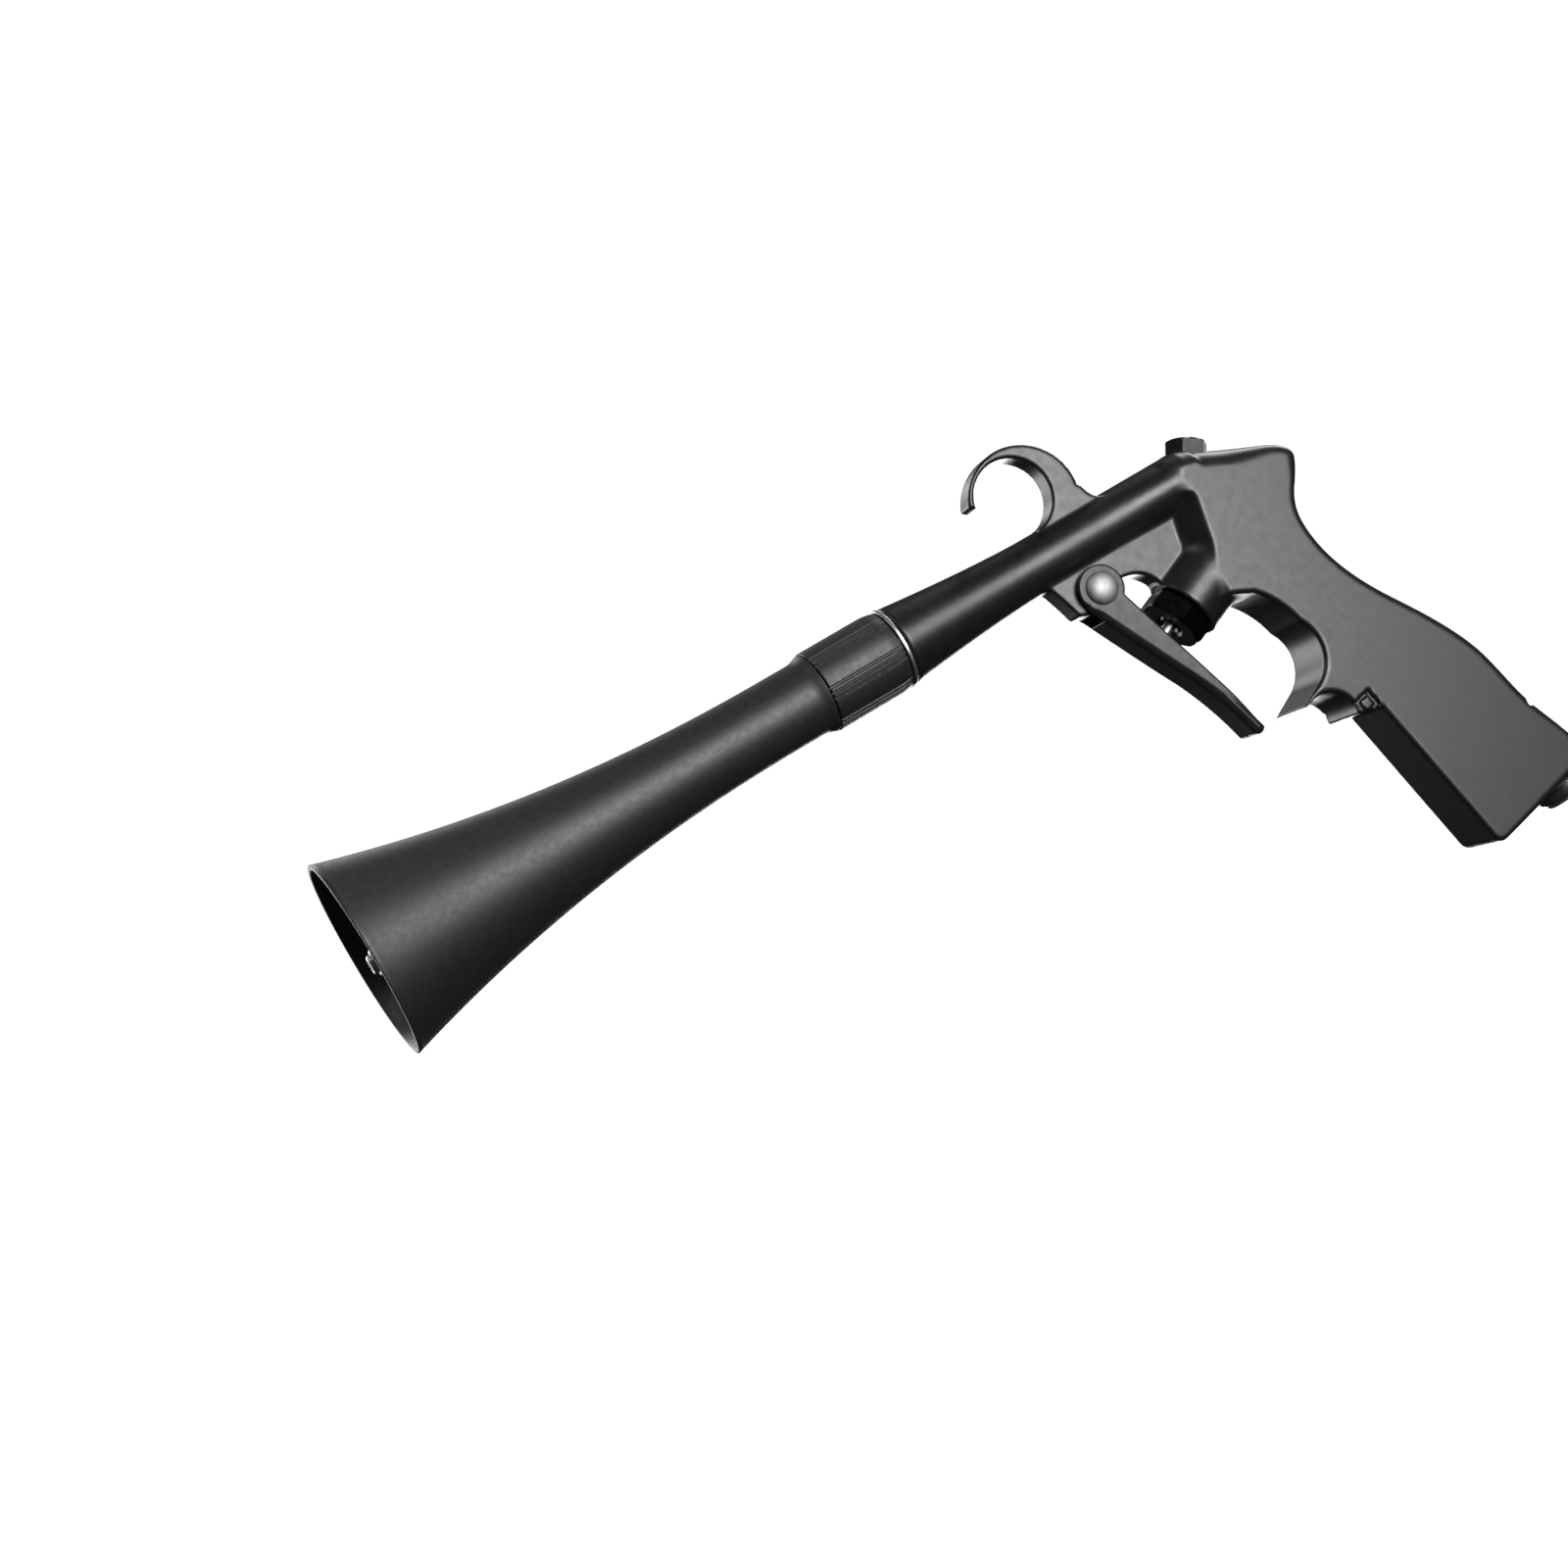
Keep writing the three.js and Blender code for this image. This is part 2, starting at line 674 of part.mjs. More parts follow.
/** Wedge that slopes the block's front wall from the plate out to one side face. */
function wallWedge(side) {
  const rise = halfGrip - halfPlate;
  const spare = 0.2;
  const corner = new THREE.Shape();
  corner.moveTo(-spare * wallRun, side * (halfPlate - spare * rise));
  corner.lineTo((1 + spare) * wallRun, side * (halfGrip + spare * rise));
  corner.lineTo(-spare * wallRun, side * (halfGrip + spare * rise));
  const height = 44;
  const wedge = welded(new THREE.ExtrudeGeometry(corner, { depth: height, bevelEnabled: false }));
  wedge.translate(0, 0, -height / 2);
  wedge.rotateY(THREE.MathUtils.degToRad(wallTiltDeg));
  wedge.translate(wallFoot.x + datumX, 0, wallFoot.z);
  return solid(wedge);
}

/** Straight drilling between two points about the datum. */
function drilling(radius, from, to) {
  const run = new THREE.Vector3(to.x - from.x, 0, to.z - from.z);
  const degrees = THREE.MathUtils.radToDeg(Math.atan2(run.z, run.x));
  return solid(aimed(rod(radius, 0, run.length()), from, degrees));
}

/** Point on the valve axis, a distance behind the boss's front face. */
function onValveAxis(distance) {
  return {
    x: bossFront.x + bossDirection.x * distance,
    z: bossFront.z + bossDirection.z * distance,
  };
}

/** Point on the plug's axis, a distance below its seat. */
function underPlug(distance) {
  return { x: plugSeat.x - plugDirection.x * distance, z: plugSeat.z - plugDirection.z * distance };
}

function makeBody() {
  const gripPlate = plate(gripShape(), gripThickness, 7);
  gripPlate.translate(datumX, 0, 0);
  const grip = solid(gripPlate).subtract(wallWedge(1)).subtract(wallWedge(-1));
  const boss = aimed(rod(bossRadius, 0, bossLength, 40), bossFront, bossTiltDeg);
  const pad = aimed(rod(plugPadRadius, -6, 0, 32), plugSeat, plugTiltDeg);
  const socket = rod(spigotRootRadius + turnedGap, -1, socketDepth, fineSides);
  const chamber = aimed(rod(chamberRadius, -1, chamberDepth), bossFront, bossTiltDeg);
  const spotFace = aimed(rod(plugPadRadius - 0.2, 0, 8, 32), plugSeat, plugTiltDeg);
  const plugHole = aimed(rod(plugShankRadius + turnedGap, -plugShankLength - 0.6, 1), plugSeat, plugTiltDeg);
  const pinHole = rod(pinRadius + turnedGap, -halfPlate - 1, halfPlate + 1);
  pinHole.rotateZ(Math.PI / 2);
  pinHole.translate(pivot.x + datumX, 0, pivot.z);
  const inletHole = aimed(rod(inletThreadRadius + turnedGap, -inletDepth, 1), inlet, gripTiltDeg - 90);
  const strapNotch = rod(1.2, -halfGrip - 1, halfGrip + 1, 12);
  strapNotch.rotateZ(Math.PI / 2);
  strapNotch.translate(heel.x - 7.4 + datumX, 0, heel.z + 20.2);
  const passageStart = inletDepth - 3;
  const inletEnd = {
    x: inlet.x - Math.sin(gripTilt) * passageStart,
    z: inlet.z + Math.cos(gripTilt) * passageStart,
  };
  return geometryOf(makeBarrel()
    .add(makeShoulder())
    .add(makeHook())
    .add(makeWeb())
    .add(solid(boss))
    .add(grip)
    .add(solid(pad))
    .subtract(solid(socket))
    .subtract(solid(rod(airBoreRadius, -1, datumX + 5)))
    .subtract(solid(chamber))
    .subtract(solid(spotFace))
    .subtract(solid(plugHole))
    .subtract(drilling(crossDrillRadius, underPlug(plugShankLength), underPlug(31)))
    .subtract(solid(pinHole))
    .subtract(solid(inletHole))
    .subtract(drilling(inletPassageRadius, inletEnd, onValveAxis(21)))
    .subtract(solid(strapNotch)));
}

piece('gun_body', makeBody(), castPaint);

// ---------------------------------------------------------------- trigger and its pin

/** Trigger's side outline about the datum. */
function triggerShape() {
  const shape = new THREE.Shape();
  shape.moveTo(-40.1, -17);
  shape.quadraticCurveTo(-30.5, -36, -25.2, -45.6);
  shape.quadraticCurveTo(-20.4, -55, -17.6, -66);
  shape.quadraticCurveTo(-15.6, -68.2, -14, -66);
  shape.quadraticCurveTo(-17.4, -54, -29.1, -19.2);
  shape.absarc(pivot.x, pivot.z, triggerEarRadius, -0.75, Math.PI + 0.4, false);
  return shape;
}

/** Bent channel: two side plates with ears, joined along the front edge. */
function makeTrigger() {
  const channel = new THREE.Shape();
  channel.moveTo(-46, -5);
  channel.lineTo(-40.1 + triggerFrontSheet * 1.14, -17);
  channel.quadraticCurveTo(-30.5 + triggerFrontSheet * 1.14, -36, -25.2 + triggerFrontSheet * 1.14, -45.6);
  channel.quadraticCurveTo(-20.4 + triggerFrontSheet, -55, -17.6 + triggerFrontSheet, -64.4);
  channel.lineTo(-8, -64.4);
  channel.lineTo(-10, -5);
  const halfInside = triggerWidth / 2 - triggerSheet;
  const inner = plate(channel, 2 * halfInside, 8);
  const lugRoom = rod(triggerLugRadius + lugSwingRoom, -halfInside, halfInside, 32);
  lugRoom.rotateZ(Math.PI / 2);
  lugRoom.translate(pivot.x, 0, pivot.z);
  const pinHole = rod(pinRadius + runningGap, -triggerWidth, triggerWidth);
  pinHole.rotateZ(Math.PI / 2);
  pinHole.translate(pivot.x, 0, pivot.z);
  const trigger = geometryOf(solid(plate(triggerShape(), triggerWidth, 8))
    .subtract(solid(inner))
    .subtract(solid(lugRoom))
    .subtract(solid(pinHole)));
  trigger.translate(datumX, 0, 0);
  return trigger;
}

/** Domed head of the pivot pin, its flat side at x = 0. */
function domeOutline() {
  const points = [[0, pinHeadRadius]];
  const steps = 5;
  for (let i = 1; i < steps; i += 1) {
    const angle = (Math.PI / 2) * (i / steps);
    points.push([pinHeadHeight * Math.sin(angle), pinHeadRadius * Math.cos(angle)]);
  }
  points.push([pinHeadHeight, 0]);
  return points;
}

function makePin() {
  const headFace = triggerWidth / 2 + runningGap;
  const pin = turned([
    [-headFace - 1.2, 0],
    [-headFace - 1.2, pinRadius],
    [headFace, pinRadius],
    ...domeOutline().map(([x, r]) => [x + headFace, r]),
  ]);
  pin.rotateZ(-Math.PI / 2);
  pin.translate(pivot.x + datumX, 0, pivot.z);
  return pin;
}

/** Matching head on the far side, bored for the pin's end. */
function makePinCap() {
  const headFace = triggerWidth / 2 + runningGap;
  const cap = turned([
    [1.2 + seatGap, 0],
    [1.2 + seatGap, pinRadius + turnedGap],
    [0, pinRadius + turnedGap],
    ...domeOutline(),
  ]);
  cap.translate(headFace, 0, 0);
  cap.rotateZ(Math.PI / 2);
  cap.translate(pivot.x + datumX, 0, pivot.z);
  return cap;
}

piece('trigger', makeTrigger(), triggerPaint);
piece('pivot_pin', makePin(), brightSteel);
piece('pivot_pin_cap', makePinCap(), brightSteel);

// ---------------------------------------------------------------- valve

const valveGroup = aimedGroup(bossFront, bossTiltDeg);
const stemTip = -14.2;                                     // just behind the trigger's front sheet
const packingFrom = glandShankLength + seatGap;
const seatFrom = packingFrom + packingLength + 1.6;
const sealFrom = seatFrom + seatLength + 0.05;
const poppetFrom = sealFrom + poppetSealLength + 0.05;
const poppetTo = poppetFrom + poppetLength;
const springFrom = poppetTo + springWire + 0.15;
const springTo = chamberDepth - springWire - 0.15;

function makeGlandNut() {
  const shank = rod(chamberRadius - turnedGap, -1, glandShankLength);
  const bore = rod(stemRadius + runningGap, -glandHeight - 2, glandShankLength + 1);
  return geometryOf(hexagon(glandFlats, -glandHeight - seatGap, -seatGap)
    .add(solid(shank))
    .subtract(solid(bore)));
}

/** Stem with a rounded tip; its rear end stands in the poppet. */
function makeStem() {
  return turned([
    [stemTip, 0],
    [stemTip + 0.3, 0.9],
    [stemTip + 1, stemRadius],
    [poppetFrom + 1.6, stemRadius],
    [poppetFrom + 1.6, 0],
  ]);
}

function makePoppet() {
  return turned([
    [poppetFrom, stemRadius + turnedGap],
    [poppetFrom, poppetRadius],
    [poppetTo - 0.8, poppetRadius],
    [poppetTo, poppetRadius - 0.8],
    [poppetTo, 0],
    [poppetFrom + 1.9, 0],
    [poppetFrom + 1.9, stemRadius + turnedGap],
  ]);
}

function makeSpring() {
  class Helix extends THREE.Curve {
    getPoint(t, target = new THREE.Vector3()) {
      const angle = 2 * Math.PI * springTurns * t;
      return target.set(
        springFrom + (springTo - springFrom) * t,
        springRadius * Math.cos(angle),
        springRadius * Math.sin(angle),
      );
    }
  }
  const section = new THREE.Shape().absarc(0, 0, springWire / 2, 0, 2 * Math.PI);
  return welded(new THREE.ExtrudeGeometry(section, {
    extrudePath: new Helix(),
    steps: springTurns * 12,
    curveSegments: 3,
  }));
}

piece('gland_nut', makeGlandNut(), darkSteel, valveGroup);
piece('valve_stem', makeStem(), brightSteel, valveGroup);
piece('stem_packing', ring(
  stemRadius + runningGap,
  chamberRadius - turnedGap,
  packingFrom,
  packingFrom + packingLength,
), sealRubber, valveGroup);
piece('valve_seat', ring(
  seatBoreRadius,
  chamberRadius - turnedGap,
  seatFrom,
  seatFrom + seatLength,
), brassFinish, valveGroup);
piece('poppet_seal', ring(
  stemRadius + turnedGap,
  poppetRadius,
  sealFrom,
  sealFrom + poppetSealLength,
), sealRubber, valveGroup);
piece('valve_poppet', makePoppet(), brassFinish, valveGroup);
piece('valve_spring', makeSpring(), brightSteel, valveGroup);

// ---------------------------------------------------------------- top plug

const plugGroup = aimedGroup(plugSeat, plugTiltDeg);

function makePlug() {
  const headFrom = plugWasherThickness + 2 * seatGap;
  return geometryOf(hexagon(plugFlats, headFrom, headFrom + plugHeight)
    .add(solid(rod(plugShankRadius, -plugShankLength, headFrom + 1))));
}

piece('top_plug', makePlug(), darkSteel, plugGroup);
piece('top_plug_washer', ring(
  plugShankRadius + turnedGap,
  plugFlats / 2,
  seatGap,
  seatGap + plugWasherThickness,
), darkSteel, plugGroup);

// ---------------------------------------------------------------- air inlet

const inletGroup = aimedGroup(inlet, gripTiltDeg - 90);
const washerThickness = 0.8;

piece('inlet_washer', ring(
  inletThreadRadius + turnedGap,
  inletCollarRadius,
  seatGap,
  seatGap + washerThickness,
  32,
), sealRubber, inletGroup);
piece('inlet_collar', turned([
  [2 * seatGap + washerThickness, inletThreadRadius + turnedGap],
  [2 * seatGap + washerThickness, inletCollarRadius],
  [washerThickness + inletCollarHeight - 0.8, inletCollarRadius],
  [washerThickness + inletCollarHeight, inletCollarRadius - 0.8],
  [washerThickness + inletCollarHeight, inletThreadRadius + turnedGap],
], 32), darkSteel, inletGroup);
piece('inlet_insert', ring(
  inletBoreRadius,
  inletThreadRadius,
  -inletDepth + 1,
  washerThickness + inletCollarHeight + inletInsertProud,
  32,
), aluminium, inletGroup);

export default gun;
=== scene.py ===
"""Looks of the air cleaning gun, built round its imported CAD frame.

Shapes are worked out in millimetres in the CAD's row frame and turned into metres when a mesh is made.
The barrel's axis lies along X, the muzzle points to -X, +Z is up and the mirror plane is y = 0.
Cast and pressed pieces are meshed from distance fields, so that their edges and inner corners are rounded;
turned, grooved and six-sided pieces are swept round their axis.
"""

import math

import bmesh
import bpy
import numpy as np
import openvdb as vdb
from mathutils import Matrix, Vector


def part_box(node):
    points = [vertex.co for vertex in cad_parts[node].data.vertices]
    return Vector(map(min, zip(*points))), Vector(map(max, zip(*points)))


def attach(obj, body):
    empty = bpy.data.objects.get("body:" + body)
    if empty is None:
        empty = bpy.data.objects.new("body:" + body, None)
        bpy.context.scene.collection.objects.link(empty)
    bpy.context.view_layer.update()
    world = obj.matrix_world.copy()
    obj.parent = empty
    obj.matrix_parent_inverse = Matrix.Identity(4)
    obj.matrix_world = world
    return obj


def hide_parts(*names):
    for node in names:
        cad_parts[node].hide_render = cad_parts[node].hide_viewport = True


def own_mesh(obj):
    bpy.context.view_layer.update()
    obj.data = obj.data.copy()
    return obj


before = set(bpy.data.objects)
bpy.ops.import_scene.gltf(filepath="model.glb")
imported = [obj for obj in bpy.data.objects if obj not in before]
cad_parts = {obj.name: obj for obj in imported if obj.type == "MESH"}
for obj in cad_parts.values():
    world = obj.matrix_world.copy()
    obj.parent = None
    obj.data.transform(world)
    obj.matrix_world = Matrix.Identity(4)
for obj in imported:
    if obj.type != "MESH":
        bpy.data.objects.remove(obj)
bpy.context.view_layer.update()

MM = 0.001


# ---------------------------------------------------------------- places taken from the frame


def box_mm(node):
    """Lowest and highest corner of a CAD node, in millimetres."""
    low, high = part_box(node)
    return np.array(low) / MM, np.array(high) / MM


horn_low, horn_high = box_mm("horn")
collar_low, collar_high = box_mm("horn_collar")
ring_low, ring_high = box_mm("seat_ring")
body_low = box_mm("gun_body")[0]
sleeve_low, sleeve_high = box_mm("nozzle_tip_weight")

AXIS_Z = (horn_low[2] + horn_high[2]) / 2
MOUTH_X = horn_low[0]
BARREL_FRONT = body_low[0]
BARREL_LENGTH = 88.0
DATUM_X = BARREL_FRONT + BARREL_LENGTH      # block datum: the outlines of the rear casting start from it

# Horn and collar
HORN_MOUTH_R = (horn_high[2] - horn_low[2]) / 2
HORN_END_R = 9.8
HORN_FLANGE_R = 10.8
HORN_FLANGE_LENGTH = 2.6
HORN_WALL = 1.6
HORN_STRAIGHT = 8.7
HORN_POWER = 2.2
HORN_REAR = collar_low[0] - 0.3
NECK_R = 9.0
NECK_WALL = 1.5
NECK_LENGTH = 8.3
COLLAR_R = (collar_high[2] - collar_low[2]) / 2
COLLAR_BORE = 9.1
GROOVE_GROUPS = 7
GROOVES_PER_GROUP = 3
GROOVE_PITCH = 8.0
GROOVE_WIDTH = 4.6
GROOVE_DEPTH = 0.6
GROOVE_TURN = 25.5                          # from straight down to the middle of the first group
REAR_CHAMFER = (2.6, 0.5)                   # length and depth

# Barrel
BARREL_R = 7.5
BARREL_FRONT_R = 10.6
FLARE_LENGTH = 43.0
FLARE_POWER = 1.5
SOCKET_R = 7.9
SOCKET_DEPTH = 13.7
AIR_BORE_R = 3.0
SHOULDER = (-26.0, 4.0)                     # the barrel widens into the block between these, from the datum

# Plate, block and grip
PLATE_HALF = 4.0
GRIP_HALF = 10.0
WALL_FOOT = (-6.9, -12.0)
WALL_TILT = math.radians(12.5)
WALL_RUN = 5.6
GRIP_TILT = math.radians(11.2)
TOE = (24.5, -124.4)
GRIP_DEPTH = 36.4
HEEL = (TOE[0] + GRIP_DEPTH * math.cos(GRIP_TILT), TOE[1] + GRIP_DEPTH * math.sin(GRIP_TILT))
HOOK_EYE = (-41.2, 17.7, 10.5)
HOOK_BACK = (-39.0, 15.2, 15.2)

# Valve boss, trigger, plug and inlet: place about the datum and tilt of the axis
BOSS_FRONT = (-15.3, -29.25)
BOSS_TILT = math.radians(21.2)
BOSS_R = 9.85
BOSS_LENGTH = 16.0
CHAMBER_R = 5.4
CHAMBER_DEPTH = 27.8
PIVOT = (-34.0, -13.8)
PIN_R = 2.2
TRIGGER_HALF = 6.5
TRIGGER_SHEET = 1.6
EAR_R = 6.3
LUG_R = 6.2
LUG_SWING_ROOM = 2.2
PLUG_SEAT = (7.7, 4.0)
PLUG_TILT = math.radians(58.0)
PAD_R = 6.6
PLUG_HOLE_R = 3.8
PLUG_HOLE_DEPTH = 6.2
INLET_FROM_TOE = 28.2
INLET = (
    TOE[0] + INLET_FROM_TOE * math.cos(GRIP_TILT),
    TOE[1] + INLET_FROM_TOE * math.sin(GRIP_TILT),
)
INLET_TILT = GRIP_TILT - math.pi / 2
INLET_POCKET_R = 6.55
INLET_POCKET_DEPTH = 8.6


# ---------------------------------------------------------------- distance fields


class Outline:
    """Closed outline in the XZ plane, drawn with lines, curves and arcs."""

    def __init__(self, x, z):
        self.points = [(x, z)]

    def line(self, x, z):
        self.points.append((x, z))
        return self

    def quad(self, cx, cz, x, z, steps=14):
        x0, z0 = self.points[-1]
        for i in range(1, steps + 1):
            t = i / steps
            a, b, c = (1 - t) ** 2, 2 * t * (1 - t), t * t
            self.points.append((a * x0 + b * cx + c * x, a * z0 + b * cz + c * z))
        return self

    def cubic(self, ax, az, bx, bz, x, z, steps=20):
        x0, z0 = self.points[-1]
        for i in range(1, steps + 1):
            t = i / steps
            w = ((1 - t) ** 3, 3 * t * (1 - t) ** 2, 3 * t * t * (1 - t), t**3)
            self.points.append((
                w[0] * x0 + w[1] * ax + w[2] * bx + w[3] * x,
                w[0] * z0 + w[1] * az + w[2] * bz + w[3] * z,
            ))
        return self

    def arc(self, cx, cz, radius, start, end, steps=36):
        """Arc from one angle to another, in degrees; end below start runs clockwise."""
        for i in range(steps + 1):
            angle = math.radians(start + (end - start) * i / steps)
            self.points.append((cx + radius * math.cos(angle), cz + radius * math.sin(angle)))
        return self

    def distance(self, x, z):
        """Signed distance to the outline, negative inside."""
        nearest = np.full(np.broadcast(x, z).shape, 1e9, np.float32)
        inside = np.zeros(nearest.shape, bool)
        points = np.array(self.points, np.float32)
        for (ax, az), (bx, bz) in zip(points, np.roll(points, -1, axis=0)):
            ex, ez = bx - ax, bz - az
            length2 = ex * ex + ez * ez
            if length2 < 1e-8:
                continue
            t = np.clip(((x - ax) * ex + (z - az) * ez) / length2, 0, 1)
            nearest = np.minimum(nearest, (x - ax - t * ex) ** 2 + (z - az - t * ez) ** 2)
            if ez != 0:
                crosses = (z >= min(az, bz)) & (z < max(az, bz)) & (x < ax + (z - az) * ex / ez)
                inside ^= crosses
        return np.where(inside, -1, 1).astype(np.float32) * np.sqrt(nearest)


def rounded_max(a, b, radius):
    """Where two solids meet in an edge that sticks out, with that edge rounded."""
    corner = np.hypot(np.maximum(a + radius, 0), np.maximum(b + radius, 0))
    return np.minimum(np.maximum(a, b), -radius) + corner


def blended_min(a, b, reach):
    """Two solids joined, with a fillet in the inner corner between them."""
    share = np.maximum(reach - np.abs(a - b), 0) / reach
    return np.minimum(a, b) - share * share * reach / 4


def extruded(flat, y, half, radius):
    """Plate of a flat outline, its side faces at -half and +half, with rounded edges."""
    return rounded_max(flat, np.abs(y) - half, radius)


def smooth_step(low, high, value):
    t = np.clip((value - low) / (high - low), 0, 1)
    return t * t * (3 - 2 * t)


class Field:
    """Grid of points over a box about the block datum; it spans only y >= 0 and is mirrored when meshed."""

    def __init__(self, low, high, half_width, step):
        self.step = step
        self.x0, self.z0 = low
        self.nx = int((high[0] - low[0]) / step) + 2
        self.nz = int((high[1] - low[1]) / step) + 2
        self.ny = int(half_width / step) + 2
        self.x = (self.x0 + step * np.arange(self.nx, dtype=np.float32))[:, None, None]
        self.y = (step * np.arange(self.ny, dtype=np.float32))[None, :, None]
        self.z = (self.z0 + step * np.arange(self.nz, dtype=np.float32))[None, None, :]

    def plan(self, outline):
        """Distance to a flat outline at each point of the XZ plane, the same at every y."""
        return outline.distance(self.x, self.z)

    def along(self, place, tilt):
        """Distance along a tilted axis in the mirror plane, and distance from it."""
        dx, dz = self.x - place[0], self.z - place[1]
        run = dx * math.cos(tilt) + dz * math.sin(tilt)
        side = -dx * math.sin(tilt) + dz * math.cos(tilt)
        return run, np.sqrt(side * side + self.y * self.y)

    def rod(self, place, tilt, start, end, radius, edge=0.0):
        run, off = self.along(place, tilt)
        ends = np.maximum(start - run, run - end)
        return rounded_max(off - radius, ends, edge)

    def cross_rod(self, place, radius):
        """Rod along Y."""
        return np.hypot(self.x - place[0], self.z - place[1]) - radius

    def mesh(self, distance):
        """Points in millimetres in the row frame, and quads, of the surface where the distance is zero."""
        full = np.concatenate([distance[:, :0:-1, :], distance], axis=1)
        band = 4 * self.step
        grid = vdb.FloatGrid(band)
        grid.copyFromArray(np.ascontiguousarray(np.clip(full, -band, band)))
        points, quads = grid.convertToQuads()
        points = points * self.step + np.array([self.x0, -(self.ny - 1) * self.step, self.z0])
        return points + np.array([DATUM_X, 0, AXIS_Z]), quads


# ---------------------------------------------------------------- meshes


SAME_PLACE = 2e-6                           # metres


def weld(mesh):
    """Joins points at the same place, such as those where a swept profile touches its axis."""
    work = bmesh.new()
    work.from_mesh(mesh)
    bmesh.ops.remove_doubles(work, verts=work.verts, dist=SAME_PLACE)
    work.to_mesh(mesh)
    work.free()


def piece(name, points_mm, faces, body, nodes, finish, sharp=None):
    """Named mesh that rides on a body, stands for CAD nodes and takes a finish, in a slot of that name.

    sharp is the angle in degrees above which an edge stays sharp; without it the whole mesh is smooth.
    """
    mesh = bpy.data.meshes.new(name)
    if isinstance(faces, np.ndarray):
        count, size = faces.shape
        mesh.vertices.add(len(points_mm))
        mesh.vertices.foreach_set("co", (np.asarray(points_mm) * MM).astype(np.float32).ravel())
        mesh.loops.add(count * size)
        mesh.loops.foreach_set("vertex_index", faces.astype(np.int32).ravel())
        mesh.polygons.add(count)
        mesh.polygons.foreach_set("loop_start", (size * np.arange(count)).astype(np.int32))
        mesh.update(calc_edges=True)
    else:
        mesh.from_pydata([tuple(c * MM for c in p) for p in points_mm], [], faces)
    mesh.validate()
    if sharp is not None:
        weld(mesh)
    mesh.shade_smooth()
    if sharp is not None:
        mesh.set_sharp_from_angle(angle=math.radians(sharp))
    mesh.materials.append(FINISHES[finish])
    made = bpy.data.objects.new(name, mesh)
    bpy.context.scene.collection.objects.link(made)
    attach(made, body)
    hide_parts(*nodes)
    return made


def outward(points, faces):
    """The four-sided faces, turned over if they enclose a negative volume."""
    p = np.asarray(points)
    f = np.asarray(faces)
    a, b, c, d = (p[f[:, i]] for i in range(4))
    volume = sum(np.einsum("ij,ij->i", a, np.cross(*pair)).sum() for pair in ((b, c), (c, d)))
    return f if volume > 0 else f[:, ::-1].copy()


def sweep(profile, sides, shape=None, hub=(0.0, 0.0), tilt=0.0):
    """Solid swept round an axis that starts at a place about the datum and is tilted up.

    profile is a closed loop of (distance along, radius); shape turns (angle, along, radius) arrays into a
    radius. Angle 0 points to -Y and 90 degrees up.
    """
    along = np.array([p[0] for p in profile])
    radius = np.array([p[1] for p in profile])
    angle = 2 * np.pi * np.arange(sides) / sides
    grid_r = np.repeat(radius[:, None], sides, axis=1)
    if shape is not None:
        grid_r = shape(angle[None, :], along[:, None], grid_r)
    grid_s = np.repeat(along[:, None], sides, axis=1)
    across = -grid_r * np.cos(angle)[None, :]
    up = grid_r * np.sin(angle)[None, :]
    x = hub[0] + grid_s * math.cos(tilt) - up * math.sin(tilt) + DATUM_X
    z = hub[1] + grid_s * math.sin(tilt) + up * math.cos(tilt) + AXIS_Z
    points = np.stack([x, across, z], axis=-1).reshape(-1, 3)
    rows = len(profile)
    i = np.arange(rows)[:, None]
    j = np.arange(sides)[None, :]
    k = (j + 1) % sides
    n = (i + 1) % rows
    faces = np.stack([i * sides + j, i * sides + k, n * sides + k, n * sides + j], axis=-1).reshape(-1, 4)
    return points, outward(points, faces)


def barrel_place(x):
    """Distance along the barrel's axis from the datum, for a place in the row frame."""
    return x - DATUM_X


def rounded_corner(before, corner, after, radius, steps=5):
    """Points of a quarter-round-like corner between two straight stretches of a profile."""
    corner, before, after = (np.array(p, float) for p in (corner, before, after))
    u = (before - corner) / np.linalg.norm(before - corner)
    v = (after - corner) / np.linalg.norm(after - corner)
    start, end = corner + u * radius, corner + v * radius
    made = []
    for i in range(steps + 1):
        t = i / steps
        made.append(tuple((1 - t) ** 2 * start + 2 * t * (1 - t) * corner + t * t * end))
    return made


def eased(profile, radii):
    """Closed profile with each corner rounded; radii gives one number per corner, or one for all."""
    if not isinstance(radii, (list, tuple)):
        radii = [radii] * len(profile)
    made = []
    for i, corner in enumerate(profile):
        before = profile[i - 1]
        after = profile[(i + 1) % len(profile)]
        if radii[i] > 0:
            made.extend(rounded_corner(before, corner, after, radii[i]))
        else:
            made.append(tuple(corner))
    return made


# ---------------------------------------------------------------- materials


NOISE_SPREAD = 0.2                          # noise lies mostly within this of its middle, 0.5


def material(name, color, roughness, metallic=0.0, specular=0.5):
    """Principled material whose constants sit on the shader's own sockets."""
    made = bpy.data.materials.new(name)
    made.use_nodes = True
    shader = made.node_tree.nodes["Principled BSDF"]
    shader.inputs["Base Color"].default_value = (*color, 1)
    shader.inputs["Roughness"].default_value = roughness
    shader.inputs["Metallic"].default_value = metallic
    shader.inputs["Specular IOR Level"].default_value = specular
    return made


